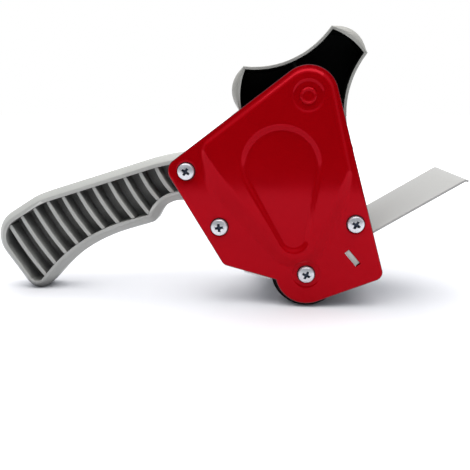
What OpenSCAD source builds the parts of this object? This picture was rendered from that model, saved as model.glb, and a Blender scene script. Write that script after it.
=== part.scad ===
// Hand-held packing tape dispenser: one stamped side plate carries a ribbed grip,
// a three-lobed core hub with a brake, a rubber roller, a blade bridge and a sprung flap.
// Lengths are in millimetres. X runs from the grip to the flap, Y from the side plate to the
// open side where the tape roll goes on, and Z up from the surface it stands on.
// Places below are [X, Z] pairs: X from the roller's axis, Z from the standing surface.

/* [Side plate] */
// Thickness of the plate's sheet
plate_t = 1.5; // [1:0.1:2.2]
// Radius of the top round, about the hub's axis
plate_top_r = 14.6; // [14.2:0.1:18]
// Radius of the lower round, about the roller's axis
plate_roller_r = 15.6; // [12:0.1:17.5]
// How far below the roller's axis the rear lower edge would pass
plate_chin_drop = 6.9; // [4:0.1:9]
// Centre of the rear corner's round
plate_rear_at = [-65, 72.8]; // [-80:0.1:90]
// Radius of the rear corner
plate_rear_r = 6.3; // [5:0.1:8]
// Centre of the heel corner's round
plate_heel_at = [-40.6, 26.9]; // [-50:0.1:40]
// Centre of the toe corner's round
plate_toe_at = [35.1, 20.1]; // [10:0.1:45]
// Radius of the heel and toe corners
plate_corner_r = 4; // [2:0.1:6]
// Height of the raised area
emboss_rise = 1.4; // [0.8:0.1:2]
// Centre of the raised area's rear round
emboss_rear_at = [-47.2, 83.5]; // [-52:0.1:86]
// Centre of the raised area's lower round
emboss_low_at = [-5.6, 38.3]; // [-10:0.1:42]
// Centre of the raised area's front round
emboss_front_at = [17.2, 73]; // [12:0.1:78]
// Width of the raised area's slope
emboss_slope = 2.5; // [1.5:0.1:2.8]
// Depth of the sunk area below the raised one
teardrop_dip = 1.3; // [0.6:0.1:1.3]
// Centre of the sunk area's wide end
teardrop_top_at = [-13.6, 76.1]; // [-20:0.1:90]
// Radius of the sunk area's wide end
teardrop_top_r = 19.3; // [14:0.1:22]
// Centre of the sunk area's narrow end
teardrop_foot_at = [-6.8, 38.5]; // [-12:0.1:42]
// Radius of the sunk area's narrow end
teardrop_foot_r = 7; // [5:0.1:8]
// Width of the sunk area's slope
teardrop_slope = 2.6; // [2:0.1:3]
// Radius of the stamped boss round the hub axle
boss_r = 8.9; // [6:0.1:10]
// Height of the stamped boss
boss_rise = 0.5; // [0.3:0.1:0.9]

/* [Screws] */
// Radius of the cross-head screws' heads
head_r = 4.3; // [3.5:0.1:5]
// Height of the heads
head_h = 2.5; // [1.8:0.1:3]
// Radius of the screws' shanks
screw_r = 2; // [1.5:0.1:2.5]
// Length of the shanks, from the plate's face
screw_len = 14; // [10:0.5:18]
// Arm width of the cross recess
recess_w = 0.9; // [0.6:0.1:1.2]
// Place of the upper handle screw
upper_screw_at = [-62.2, 72.7]; // [-70:0.1:80]
// Place of the lower handle screw
lower_screw_at = [-45.5, 43.6]; // [-52:0.1:50]
// Radius of the small screws' heads
small_head_r = 2.6; // [2:0.1:3]
// Height of the small screws' heads
small_head_h = 1.5; // [1:0.1:2]
// Radius of the small screws' shanks
small_screw_r = 1.4; // [1:0.1:1.8]

/* [Roller] */
// Radius of the roller over its rubber
roller_r = 18.5; // [17.8:0.1:20]
// Thickness of the rubber
rubber_t = 4; // [2:0.1:6]
// Length of the roller
roller_len = 49.4; // [46:0.1:52]
// Radius of the roller's axle
roller_axle_r = 4; // [3:0.1:5]
// Thickness of the axle's collar at the plate
collar_t = 1; // [0.8:0.1:3]
// Thickness of the roller's washers
washer_t = 0.8; // [0.6:0.1:1.5]

/* [Core hub] */
// Place of the hub's axis
hub_at = [-0.6, 110.7]; // [-10:0.1:120]
// Radius of the hub's open rim
hub_rim_r = 35.5; // [33:0.1:36.5]
// Radius over the lobes' crown, inside a three inch core
hub_crown_r = 38; // [36.8:0.1:39]
// Length of the hub
hub_len = 46.9; // [44:0.1:50]
// Wall of the hub
hub_wall = 1.7; // [1.2:0.1:2.5]
// Direction of the first lobe, degrees
lobe_angle = 52.8; // [0:0.1:119]
// Radius of the hollows between the lobes
scallop_r = 46; // [44:0.5:54]
// Least radius between the lobes
waist_r = 18.8; // [18:0.1:21]
// Thickness of the web
web_t = 2.5; // [1.5:0.1:3.5]
// Radius of the bearing tube
tube_r = 8; // [7:0.1:9]
// Length of the bearing tube beyond the web
tube_out = 3.5; // [2:0.1:5]
// Thickness of the hub's ribs
hub_rib_t = 1.5; // [1:0.1:2.5]
// Radius of the hub's axle
hub_axle_r = 5; // [4.5:0.1:5.5]
// Radius of the axle's flange
hub_flange_r = 9; // [7:0.1:10.5]
// Thickness of the axle's flange
hub_flange_t = 3.4; // [2.8:0.1:5]
// Radius of the riveted end
rivet_r = 4.5; // [3.5:0.1:5.5]
// Height of the riveted end
rivet_h = 1; // [0.6:0.1:1.6]

/* [Hub brake] */
// Radius of the brake washers
brake_washer_r = 11.5; // [10:0.1:13]
// Thickness of the felt washer
felt_t = 1.5; // [1:0.1:3]
// Thickness of the steel washers
steel_washer_t = 1.5; // [1:0.1:2]
// Length of the brake spring as set
brake_spring_len = 10; // [9.5:0.1:12]
// Wire diameter of the brake spring
brake_wire_d = 1.2; // [1:0.05:1.3]
// Mean radius of the brake spring's coils
brake_coil_r = 7; // [6.8:0.1:8]
// Turns of the brake spring
brake_turns = 4.5; // [4:0.5:5]
// Radius of the threaded end
thread_r = 4; // [3:0.1:4.4]
// Pitch of the thread
thread_pitch = 1.5; // [1:0.25:1.5]
// Turns of the knob each way from its set place
knob_turns = 2; // [1:0.5:2]
// Distance of the knob's inner face inside the hub's far rim
knob_inset = 5.3; // [4:0.1:7]
// Radius of the knob
knob_r = 13; // [11:0.1:14.5]
// Thickness of the knob's closed end
knob_end_t = 2.5; // [1.5:0.1:2.6]
// Length of thread inside the knob as set
thread_grip = 6.2; // [5:0.1:6.3]
// Radius of the knob's brass insert
insert_r = 6.5; // [5.5:0.1:8]
// Finger hollows round the knob
knob_flutes = 8; // [6:1:12]

/* [Handle] */
// Distance from the plate to the grip's near rim
grip_y = 16; // [12:0.5:20]
// Thickness of the grip
grip_t = 15; // [13:0.5:18]
// Rounding of the grip's edges
grip_edge = 3.4; // [1:0.1:4]
// Wall of the grip at its rim
grip_wall = 1.9; // [1.2:0.1:3]
// Thickness of the grip's closed back
grip_back_t = 2.5; // [1.5:0.1:4]
// Thickness of the grip's ribs
rib_t = 1.9; // [1.2:0.1:2.5]
// Distance between the ribs
rib_pitch = 9.06; // [8:0.01:10]
// Number of ribs
rib_count = 11; // [8:1:12]
// Lean of the ribs, degrees from the horizontal
rib_angle = 122; // [116:0.5:126]
// Distance of the first rib from the roller's axis, square to the ribs
rib_first = -122.8; // [-126:0.1:-118]
// Distance of the grip's resting tip behind the roller's axis
tip_x = -154.8; // [-160:0.1:-150]
// Radius of the resting tip
tip_r = 8; // [6:0.1:9]
// Centre of the round at the butt
butt_at = [-161.3, 31.4]; // [-170:0.1:36]
// Radius of the round at the butt
butt_r = 15.4; // [14:0.1:17]
// Centre of the grip's back round
back_at = [-135.2, 19.8]; // [-140:0.1:24]
// Radius of the grip's back round
back_r = 40; // [38:0.1:42]
// Centre of the hollow under the grip
palm_at = [-73, -53.5]; // [-80:0.1:-48]
// Radius of the finger stop
stop_r = 6; // [5.5:0.1:7]
// Direction of the finger stop from the palm hollow's centre, degrees
stop_angle = 98.3; // [96:0.1:101]
// Radius of the finger hollow
finger_r = 15; // [12:0.1:17]
// Step from the upper screw to the centre of the grip's lower root round
root_low_step = [12.2, -14.7]; // [-16:0.1:14]
// Radius of the grip's lower root round
root_low_r = 4; // [3:0.1:5]
// Step from the upper screw to the centre of the grip's upper root round
root_high_step = [0.6, 5.2]; // [0:0.1:6]
// Radius of the grip's upper root round
root_high_r = 5; // [4:0.1:6]
// Radius of the handle's screw bosses
boss_post_r = 6; // [5:0.1:7]
// Place of the flat front of the handle's base
base_front_x = -33; // [-36:0.1:-31]
// Height of the base's lower front round
base_heel_z = 32; // [30:0.1:36]
// Height of the base's upper front round
base_brow_z = 58; // [54:0.1:62]
// Radius of the base's front rounds
base_r = 5; // [4:0.1:6]
// Width of the base round its screw bosses
base_rim = 1.5; // [1:0.1:2]
// Step from the upper screw to the centre of the base's top round
base_step = [8.2, 4]; // [2:0.1:10]
// Radius of the base's top round
base_step_r = 5; // [4:0.1:6]

/* [Tape guide] */
// Thickness of the guide's sheet
guide_t = 1.2; // [0.8:0.1:2]
// Distance of the guide's sides inside the roller's ends
guide_inset = 1.2; // [0.5:0.1:4]
// Height of the guide's top edge
guide_top_z = 54; // [50:0.1:56]
// Height of the guide's lower bend
guide_foot_z = 17.4; // [16:0.1:22]
// Slope of the guide's foot, degrees
guide_slope = 15.8; // [12:0.1:20]
// Gap between the guide's foot and the roller
guide_gap = 0.9; // [0.6:0.1:2]
// Height of the lower guide screw
guide_screw_z = 37; // [35:0.1:39]
// Distance between the guide screws
guide_screw_step = 11; // [9:0.1:13]
// Length of the guide screws
guide_screw_len = 9; // [6:0.5:11]

/* [Front bridge] */
// Place of the bridge screw
bridge_screw_at = [24.8, 46]; // [20:0.1:50]
// Middle of the tab that keys the bridge into the plate
tab_at = [23.65, 27.9]; // [18:0.1:32]
// Angle of the blade carrier below the horizontal, degrees
carrier_angle = 50; // [45:0.5:55]
// Thickness of the blade carrier
carrier_t = 3; // [2:0.1:3.6]
// Reach of the carrier above the tab's middle
carrier_up = 12; // [11:0.1:13]
// Reach of the carrier below the tab's middle
carrier_down = 8; // [6:0.1:10]
// Length of the tab
tab_len = 8.8; // [6:0.1:10]
// Spare length of the tab's slot
slot_spare = 0.8; // [0.4:0.1:1.5]
// Width of the bridge
bridge_w = 52; // [50:0.1:54]
// Thickness of the bridge's cheeks
cheek_t = 3; // [2:0.1:3.2]
// Radius of the tie bar at the bridge screw
tie_r = 5; // [4.2:0.1:5.5]

/* [Blade] */
// Thickness of the blade
blade_t = 0.8; // [0.5:0.1:1]
// Distance of the blade's ends inside the bridge's ends
blade_inset = 1.25; // [0.5:0.05:3]
// Distance of the blade's upper edge below the tab's middle
blade_top = 0; // [0:0.1:1]
// Distance of the teeth's tips below the tab's middle
blade_tip = 15; // [13:0.1:16]
// Depth of the teeth
tooth_d = 2; // [1:0.1:3]
// Number of teeth
tooth_count = 22; // [16:1:30]
// Distance of the blade's screws below the tab's middle
blade_screw_s = 4; // [3.5:0.1:5]
// Distance between the blade's screws
blade_screw_step = 26; // [16:0.5:34]

/* [Wiper flap] */
// Place of the flap's pin
flap_pin_at = [24.4, 34.9]; // [20:0.1:40]
// Radius of the flap's pin
pin_r = 1.5; // [1.2:0.1:1.7]
// Radius of the flap's hinge barrels
barrel_r = 3; // [2.6:0.1:3.2]
// Rise of the flap at rest, degrees
flap_angle = 31.5; // [26:0.5:34]
// Length of the flap from its pin
flap_len = 66.2; // [55:0.1:75]
// Distance of the flap's sides inside the bridge's ends
flap_inset = 1.5; // [0.5:0.1:3]
// Thickness of the flap
flap_t = 1.2; // [0.8:0.1:1.6]
// Depth of the lip at the flap's tip
lip_h = 1.8; // [1.2:0.1:3]
// Distance from the pin at which the flap takes its full width
flap_neck = 11; // [10.5:0.1:14]
// Width of the window for the flap's spring
window_w = 20; // [14:0.5:26]
// Wire diameter of the flap's spring
flap_wire_d = 0.8; // [0.6:0.05:0.9]
// Mean radius of the flap spring's coils
flap_coil_r = 2.6; // [2.5:0.05:2.8]
// Turns of the flap's spring
flap_turns = 5; // [3:1:6]
// Pitch of the flap spring's coils
flap_spring_pitch = 1.4; // [1.35:0.05:1.6]

/* [Fits] */
// Radial play of turning pieces
run_fit = 0.06; // [0.02:0.01:0.1]
// End play of turning pieces
end_play = 0.1; // [0.05:0.05:0.3]
// Play round fixed screws and pressed pieces
seat_fit = 0.05; // [0.02:0.01:0.2]
// Play round the screws in the side plate
plate_hole_fit = 0.2; // [0.1:0.05:0.5]

/* [Hidden] */
$fn = 64;
hull_fn = 32;
eps = 0.01;
arc_step = 9;
wire_sides = 6;
rings_per_turn = 8;

// Shares of a screw head: its straight rim, and the reach and depth of its cross
rim_share = 1 / 3;
cross_share = 0.6;
// How far a small screw stops short of its hole's end
screw_short = 0.4;

// Heights and depths of the roller's stack
roller_at = [0, roller_r];
collar_rim = 3;
washer_rim = 4;
collar_r = roller_axle_r + collar_rim;
washer_r = roller_axle_r + washer_rim;
core_r = roller_r - rubber_t;
roller_y = collar_t + washer_t + end_play;
far_washer_y = roller_y + roller_len + end_play;
clip_y = far_washer_y + washer_t;
clip_t = 0.9;
clip_groove_d = 0.8;
clip_rim = 2.5;
axle_tail = 1.5;
clip_groove_r = roller_axle_r - clip_groove_d;
clip_r = roller_axle_r + clip_rim;
roller_axle_end = clip_y + clip_t + axle_tail;

// Depths of the hub's stack
hub_flange_y = hub_flange_t - emboss_rise;
hub_y = hub_flange_y + washer_t + end_play;
hub_end = hub_y + hub_len;
knob_y = hub_end - knob_inset;
seat_y = knob_y - steel_washer_t;
brake_spring_y = seat_y - brake_spring_len;
pressure_y = brake_spring_y - steel_washer_t;
felt_y = pressure_y - felt_t;
tube_end = felt_y - end_play;
web_y = tube_end - tube_out - web_t;
web_depth = web_y - hub_y;
seat_r = brake_washer_r - 1;
knob_travel = thread_pitch * knob_turns;
knob_spare = 0.5;
knob_len = thread_grip + knob_travel + knob_spare + knob_end_t;
knob_end = knob_y + knob_len;
hub_axle_end = knob_y + thread_grip;
hub_bearing_end = brake_spring_y;
scallop_off = waist_r + scallop_r;
rib_gap = 2.5;
rib_set_back = 4;

// Depths of the plate's front
rivet_rim = 1.2;
rivet_shank_r = rivet_r - rivet_rim;
boss_face = -(plate_t + emboss_rise + boss_rise);
front_y = -plate_t - max(emboss_rise + boss_rise + rivet_h, head_h);
crest_y = -plate_t - emboss_rise;
sunk_y = crest_y + teardrop_dip;

// Corners are [X, Z, radius], counter-clockwise, with a negative radius on an inward bend
plate_rear_corners = [
    [hub_at[0], hub_at[1], plate_top_r],
    [plate_rear_at[0], plate_rear_at[1], plate_rear_r],
    [plate_heel_at[0], plate_heel_at[1], plate_corner_r],
    [roller_at[0], roller_at[1], plate_chin_drop]
];
plate_front_corners = [
    [hub_at[0], hub_at[1], plate_top_r],
    [roller_at[0], roller_at[1], plate_roller_r],
    [plate_toe_at[0], plate_toe_at[1], plate_corner_r]
];

// Foot and crest of the raised area, whose slope is longest at its lower round
emboss_edge = 1;
emboss_rear_r = 4.6;
emboss_low_r = 10;
emboss_front_r = 2.5;
emboss_low_slope = 2.2 * emboss_slope;
emboss_top_r = plate_top_r - emboss_edge - emboss_slope;
emboss_crest_corners = [
    [hub_at[0], hub_at[1], emboss_top_r],
    [emboss_rear_at[0], emboss_rear_at[1], emboss_rear_r],
    [emboss_low_at[0], emboss_low_at[1], emboss_low_r],
    [emboss_front_at[0], emboss_front_at[1], emboss_front_r]
];
emboss_foot_corners = [
    for (c = emboss_crest_corners)
        [c[0], c[1], c[2] + (c[2] == emboss_low_r ? emboss_low_slope : emboss_slope)]
];

// Handle outline: hollows and stops are placed so that they always meet
join_gap = 0.5;
palm_r = norm(palm_at - [tip_x, tip_r]) - tip_r - join_gap;
stop_at = palm_at + (palm_r + stop_r + 2 * join_gap) * unit(stop_angle);
finger_angle = -20;
finger_at = stop_at + (stop_r + finger_r + join_gap) * unit(finger_angle);
root_low_at = upper_screw_at + root_low_step;
root_high_at = upper_screw_at + root_high_step;
grip_corners = [
    [tip_x, tip_r, tip_r],
    [palm_at[0], palm_at[1], -palm_r],
    [stop_at[0], stop_at[1], stop_r],
    [finger_at[0], finger_at[1], -finger_r],
    [root_low_at[0], root_low_at[1], root_low_r],
    [root_high_at[0], root_high_at[1], root_high_r],
    [back_at[0], back_at[1], back_r],
    [butt_at[0], butt_at[1], butt_r]
];
base_x = base_front_x - base_r;
base_screw_r = boss_post_r + base_rim;
base_corners = [
    [base_x, base_heel_z, base_r],
    [base_x, base_brow_z, base_r],
    [upper_screw_at[0] + base_step[0], upper_screw_at[1] + base_step[1], base_step_r],
    [upper_screw_at[0], upper_screw_at[1], base_screw_r],
    [lower_screw_at[0], lower_screw_at[1], base_screw_r]
];
guide_post_wall = 2;
edge_steps = 4;
rib_back = 1;
grip_mid = grip_y + grip_t / 2;
grip_end = grip_y + grip_t;
grip_floor = grip_end - grip_back_t;
pocket_inset = grip_edge + grip_wall;
pocket_end_x = upper_screw_at[0] - boss_post_r - 1;

// Tape guide: the foot stops short of the roller
guide_y = roller_y + guide_inset;
guide_w = roller_len - 2 * guide_inset;
guide_bend = [base_front_x, guide_foot_z];
guide_dir = unit(-guide_slope);
guide_up = unit(90 - guide_slope);
guide_reach = roller_r + guide_gap;
guide_len = min(
    run_to_circle(guide_bend, guide_dir, guide_reach),
    run_to_circle(guide_bend + guide_t * guide_up, guide_dir, guide_reach)
);

// Directions of the blade carrier and of the flap
carrier_dir = unit(-carrier_angle);
blade_y = blade_inset;
blade_w = bridge_w - 2 * blade_inset;
flap_dir = unit(flap_angle);
flap_y = flap_inset;
flap_w = bridge_w - 2 * flap_inset;
knuckle_gap = 0.3;
knuckle_y = cheek_t + knuckle_gap;
window_y = (bridge_w - window_w) / 2;
window_past = 4;
window_end = barrel_r + window_past;
cheek_step = 0.1;
pin_wall = 2.5;
blade_gap = 0.2;
tab_side = 0.2;
tab_t = carrier_t - 2 * tab_side;
tab_short = 0.2;
tab_out = plate_t - tab_short;
flap_clip_t = 1.2;
pin_proud = 0.4;
flap_clip_rim = 1.7;
flap_clip_r = pin_r + flap_clip_rim;

// Middle of the whole object, which becomes the origin
x_low = butt_at[0] - butt_r;
x_high = flap_pin_at[0] + flap_len * flap_dir[0] + lip_h * flap_dir[1];
y_high = max(knob_end, bridge_w + flap_clip_t + pin_proud, roller_axle_end);
origin = [(x_low + x_high) / 2, (front_y + y_high) / 2, 0];

// Colours
red_paint = "#a5121c";
grey_plastic = "#a3a4a1";
pale_grey = "#c6c5c1";
steel = "#b9babb";
zinc = "#cdced2";
black_rubber = "#151414";
black_plastic = "#26262a";
brass = "#b58f45";
felt = "#6d675c";

// Unit vector at an angle in the X-Z plane
function unit(a) = [cos(a), sin(a)];

// Unit vector along a 3-D vector
function unit3(v) = v / norm(v);

// Distance along a line from p to the circle of radius r about the roller's axis
function run_to_circle(p, dir, r) =
    let (w = p - roller_at, along = w * dir)
    -along - sqrt(along * along - w * w + r * r);

// Inward direction of the straight run between two corners, in degrees
function run_normal(p, q) =
    let (d = [q[0] - p[0], q[1] - p[1]])
    atan2(d[1], d[0]) + acos((q[2] - p[2]) / norm(d));

// Ends of the straight run between two corners
function run_ends(p, q) =
    let (n = unit(run_normal(p, q)))
    [[p[0], p[1]] - p[2] * n, [q[0], q[1]] - q[2] * n];

// A corner moved inward with its outline
function inset_corner(c, inset) =
    [c[0], c[1], c[2] > 0 ? max(c[2] - inset, 0.3) : c[2] - inset];

// Turn from one run's normal to the next one's
function corner_sweep(a, b, r) =
    r > 0 ? (b - a + 720) % 360 : -((a - b + 720) % 360);

// Points of an outline with round corners
function outline(corners, inset = 0) =
    let (list = [for (c = corners) inset_corner(c, inset)], n = len(list))
    [
        for (i = [0 : n - 1])
            let (
                c = list[i],
                a = run_normal(list[(i + n - 1) % n], c),
                b = run_normal(c, list[(i + 1) % n]),
                sweep = corner_sweep(a, b, c[2]),
                steps = max(1, ceil(abs(sweep) / arc_step))
            )
            for (k = [0 : steps])
                [c[0], c[1]] - c[2] * unit(a + sweep * k / steps)
    ];

// Least distance between points of a wire that lie at least skip points apart, less the wire
function least_gap(path, wire_d, skip) =
    min([
        for (i = [0 : len(path) - 1 - skip])
            for (j = [i + skip : len(path) - 1])
                norm(path[i] - path[j])
    ]) - wire_d;

// A point on a coil about an axis along Y
function coil_point(at, r, a, y) = [at[0] + r * cos(a), y, at[1] + r * sin(a)];

// Centre line of the brake spring, with a straight end of one wire diameter each way
brake_steps = brake_turns * rings_per_turn;
brake_room = brake_spring_len - brake_wire_d - 2 * end_play;
brake_coil = [
    for (k = [0 : brake_steps])
        coil_point(hub_at, brake_coil_r, 360 * k / rings_per_turn,
            brake_spring_y + brake_wire_d / 2 + end_play + brake_room * k / brake_steps)
];
brake_last = brake_coil[brake_steps];
brake_end_a = 360 * brake_turns;
brake_path = concat(
    [brake_coil[0] + brake_wire_d * [0, 0, -1]],
    brake_coil,
    [brake_last + brake_wire_d * [-sin(brake_end_a), 0, cos(brake_end_a)]]
);

// Centre line of the flap's spring: one leg bears on the carrier, the other on the flap
flap_leg_lean = 8;
flap_leg_len = 11;
carrier_leg_len = 5;
carrier_leg_a = 190;
leg_start_a = carrier_leg_a - 90;
leg_end_a = 360 * flap_turns + flap_angle - flap_leg_lean + 90;
flap_spring_mid = bridge_w / 2;
flap_sweep = leg_end_a - leg_start_a;
flap_coil_steps = floor(flap_sweep * rings_per_turn / 360);
flap_coil_len = flap_spring_pitch * flap_sweep / 360;
flap_coil = [
    for (k = [0 : flap_coil_steps])
        coil_point(flap_pin_at, flap_coil_r, leg_end_a - flap_sweep * k / flap_coil_steps,
            flap_spring_mid - flap_coil_len / 2 + flap_coil_len * k / flap_coil_steps)
];
flap_leg_dir = unit(flap_angle - flap_leg_lean);
carrier_leg_dir = unit(carrier_leg_a);
flap_path = concat(
    [flap_coil[0] + flap_leg_len * [flap_leg_dir[0], 0, flap_leg_dir[1]]],
    flap_coil,
    [flap_coil[flap_coil_steps] + carrier_leg_len * [carrier_leg_dir[0], 0, carrier_leg_dir[1]]]
);

echo(brake_spring_gap = least_gap(brake_path, brake_wire_d, rings_per_turn / 2 + 1));
echo(flap_spring_gap = least_gap(flap_path, flap_wire_d, rings_per_turn / 2 + 1));
echo(origin = origin, size = [x_high - x_low, y_high - front_y]);

// Puts the middle of the object at the origin
module place() {
    translate(-origin) children();
}

// A flat shape drawn in X and Z, given depth from y0 to y1
module slab(y0, y1) {
    translate([0, y1, 0]) rotate([90, 0, 0]) linear_extrude(y1 - y0) children();
}

// Something drawn along Z, turned to lie along Y at a place
module along_y(at, y) {
    translate([at[0], y, at[1]]) rotate([-90, 0, 0]) children();
}

// A round bar along Y
module rod(at, y0, y1, r) {
    along_y(at, y0) cylinder(h = y1 - y0, r = r);
}

// A flat ring along Y
module ring(at, y0, y1, r, bore) {
    difference() {
        rod(at, y0, y1, r);
        rod(at, y0 - 1, y1 + 1, bore);
    }
}

// A flat shape with round outward corners only
module rounded(corners) {
    n = len(corners);
    polygon([for (i = [0 : n - 1]) each run_ends(corners[i], corners[(i + 1) % n])]);
    for (c = corners) translate([c[0], c[1]]) circle(r = c[2]);
}

// Local frame of the blade carrier: X down the carrier, Z out of its face
module carrier_frame() {
    translate([tab_at[0], 0, tab_at[1]]) rotate([0, carrier_angle, 0]) children();
}

// Local frame of the flap: X along the flap, Z out of its upper face
module flap_frame() {
    translate([flap_pin_at[0], 0, flap_pin_at[1]]) rotate([0, -flap_angle, 0]) children();
}

// A domed head with a cross recess, its seat at Z = 0 and its crown towards -Z
module cross_head(r, h) {
    rim = h * rim_share;
    reach = r * cross_share;
    depth = h * cross_share;
    dome = [for (a = [0 : 15 : 90]) [r * cos(a), -rim - (h - rim) * sin(a)]];
    difference() {
        rotate_extrude() polygon(concat([[0, 0], [r, 0]], dome));
        for (a = [45, 135])
            rotate(a) translate([-reach, -recess_w / 2, -h - 1]) cube([2 * reach, recess_w, depth + 1]);
    }
}

// A cross-head screw through the plate, along Y
module plate_screw(at) {
    along_y(at, -plate_t) {
        cross_head(head_r, head_h);
        translate([0, 0, -eps]) cylinder(h = screw_len + eps, r = screw_r);
    }
}

// A small screw whose shank runs along +Z
module small_screw(length) {
    cross_head(small_head_r, small_head_h);
    translate([0, 0, -eps]) cylinder(h = length + eps, r = small_screw_r);
}

// A wire of six-sided section along a path
module wire(path, d) {
    n = len(path);
    points = [
        for (i = [0 : n - 1])
            let (
                t = unit3(path[min(i + 1, n - 1)] - path[max(i - 1, 0)]),
                side = unit3(cross(t, [0, 1, 0])),
                up = cross(side, t)
            )
            for (k = [0 : wire_sides - 1])
                path[i] + d / 2 * (cos(360 * k / wire_sides) * side + sin(360 * k / wire_sides) * up)
    ];
    last = (n - 1) * wire_sides;
    faces = concat(
        [for (k = [1 : wire_sides - 2]) [0, k + 1, k]],
        [for (k = [1 : wire_sides - 2]) [last, last + k, last + k + 1]],
        [
            for (i = [0 : n - 2])
                for (k = [0 : wire_sides - 1])
                    let (
                        a = i * wire_sides + k,
                        b = i * wire_sides + (k + 1) % wire_sides
                    )
                    each [[a, b, b + wire_sides], [a, b + wire_sides, a + wire_sides]]
        ]
    );
    polyhedron(points, faces);
}

// The plate's raised area with the sunk one inside it, as a solid swelling set back by a depth
module raised_area(back) {
    ends = [[teardrop_top_at, teardrop_top_r], [teardrop_foot_at, teardrop_foot_r]];
    translate([0, back, 0]) difference() {
        hull() {
            slab(-plate_t, -plate_t + eps) rounded(emboss_foot_corners, $fn = hull_fn);
            slab(crest_y, -plate_t) rounded(emboss_crest_corners, $fn = hull_fn);
        }
        hull() {
            for (end = ends) {
                rod(end[0], crest_y - 1, crest_y, end[1] + teardrop_slope / 2, $fn = hull_fn);
                rod(end[0], crest_y - 1, sunk_y, end[1] - teardrop_slope / 2, $fn = hull_fn);
            }
        }
    }
}

// Stamped steel plate with its holes and the slot for the bridge's tab
module side_plate() {
    color(red_paint) place() difference() {
        union() {
            slab(-plate_t, 0) {
                rounded(plate_rear_corners);
                rounded(plate_front_corners);
            }
            raised_area(0);
            rod(hub_at, boss_face, crest_y + eps, boss_r);
        }
        raised_area(plate_t);
        rod(hub_at, boss_face - 1, 1, rivet_shank_r + seat_fit);
        for (at = [upper_screw_at, lower_screw_at, roller_at, bridge_screw_at])
            rod(at, -plate_t - 1, 1, screw_r + plate_hole_fit);
        carrier_frame()
            translate([-tab_len / 2 - plate_hole_fit, -plate_t - 1, -tab_t / 2 - plate_hole_fit])
                cube([tab_len + slot_spare + plate_hole_fit, plate_t + 2, tab_t + 2 * plate_hole_fit]);
    }
}

// Solid of the handle, with stepped edges
module handle_blank() {
    for (k = [0 : edge_steps]) {
        depth = grip_edge * (1 - cos(90 * k / edge_steps));
        inset = grip_edge * (1 - sin(90 * k / edge_steps));
        slab(grip_y + depth, grip_end - depth) polygon(outline(grip_corners, inset));
        slab(grip_y + depth, grip_end - depth) polygon(outline(base_corners, inset));
    }
}

// Pockets of the handle, open towards the plate
module handle_pockets() {
    intersection() {
        polygon(outline(grip_corners, pocket_inset));
        translate([x_low, 0]) square([pocket_end_x - x_low, hub_at[1]]);
    }
    polygon(outline(base_corners, pocket_inset));
}

// Ribs across the grip's pocket
module grip_ribs() {
    intersection() {
        polygon(outline(grip_corners, pocket_inset - eps));
        translate([x_low, 0]) square([pocket_end_x - x_low, hub_at[1]]);
        for (i = [0 : rib_count - 1])
            rotate(rib_angle - 90) translate([rib_first + i * rib_pitch - rib_t / 2, 0])
                square([rib_t, 2 * hub_at[1]]);
    }
}

// Grey ribbed grip with its screw posts
module handle() {
    guide_post_len = guide_screw_len + guide_post_wall;
    color(grey_plastic) place() difference() {
        union() {
            difference() {
                handle_blank();
                slab(grip_y - 1, grip_floor) handle_pockets();
            }
            slab(grip_y + rib_back, grip_floor + eps) grip_ribs();
            for (at = [upper_screw_at, lower_screw_at]) rod(at, 0, grip_floor + eps, boss_post_r);
            for (k = [0, 1])
                translate([base_front_x - guide_post_len, grip_mid, guide_screw_z + k * guide_screw_step])
                    rotate([0, 90, 0]) cylinder(h = guide_post_len - 1, r = small_screw_r + guide_post_wall);
        }
        for (at = [upper_screw_at, lower_screw_at]) rod(at, -1, screw_len, screw_r + seat_fit);
        for (k = [0, 1])
            translate([base_front_x - guide_screw_len, grip_mid, guide_screw_z + k * guide_screw_step])
                rotate([0, 90, 0]) cylinder(h = guide_screw_len + 1, r = small_screw_r + seat_fit);
    }
}

module handle_screws() {
    color(zinc) place() for (at = [upper_screw_at, lower_screw_at]) plate_screw(at);
}

module roller_screw() {
    color(zinc) place() plate_screw(roller_at);
}

module bridge_screw() {
    color(zinc) place() plate_screw(bridge_screw_at);
}

// Axle riveted into the plate's boss, with a thread at its far end
module hub_axle() {
    color(steel) place() {
        along_y(hub_at, boss_face - rivet_h)
            cylinder(h = rivet_h + eps, r1 = rivet_r - 0.7 * rivet_h, r2 = rivet_r);
        rod(hub_at, boss_face, -emboss_rise + eps, rivet_shank_r);
        rod(hub_at, -emboss_rise, hub_flange_y, hub_flange_r);
        rod(hub_at, hub_flange_y - eps, hub_bearing_end, hub_axle_r);
        rod(hub_at, hub_bearing_end - eps, hub_axle_end, thread_r);
    }
}

module hub_washer() {
    color(steel) place() ring(hub_at, hub_flange_y, hub_flange_y + washer_t, tube_r, hub_axle_r + run_fit);
}

// Crowned profile of the hub, less a wall, and run past both ends
function hub_profile(wall, over) =
    let (
        n = 4,
        run = hub_len / 4,
        r = [for (k = [0 : n]) hub_crown_r - (hub_crown_r - hub_rim_r) * pow(k / n, 2) - wall]
    )
    concat(
        [[0, -over], [r[n], -over]],
        [for (k = [n - 1 : -1 : 0]) [r[k], run * (1 - k / n)]],
        [for (k = [0 : n - 1]) [r[k], hub_len - run * (1 - k / n)]],
        [[r[n], hub_len + over], [0, hub_len + over]]
    );

// Three-lobed solid of the hub, less a wall, and run past both ends
module hub_lobes(wall, over) {
    difference() {
        rotate_extrude() polygon(hub_profile(wall, over));
        for (k = [0 : 2])
            rotate(-lobe_angle - 60 + 120 * k) translate([scallop_off, 0, -1])
                cylinder(h = hub_len + 2, r = scallop_r + wall);
    }
}

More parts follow.
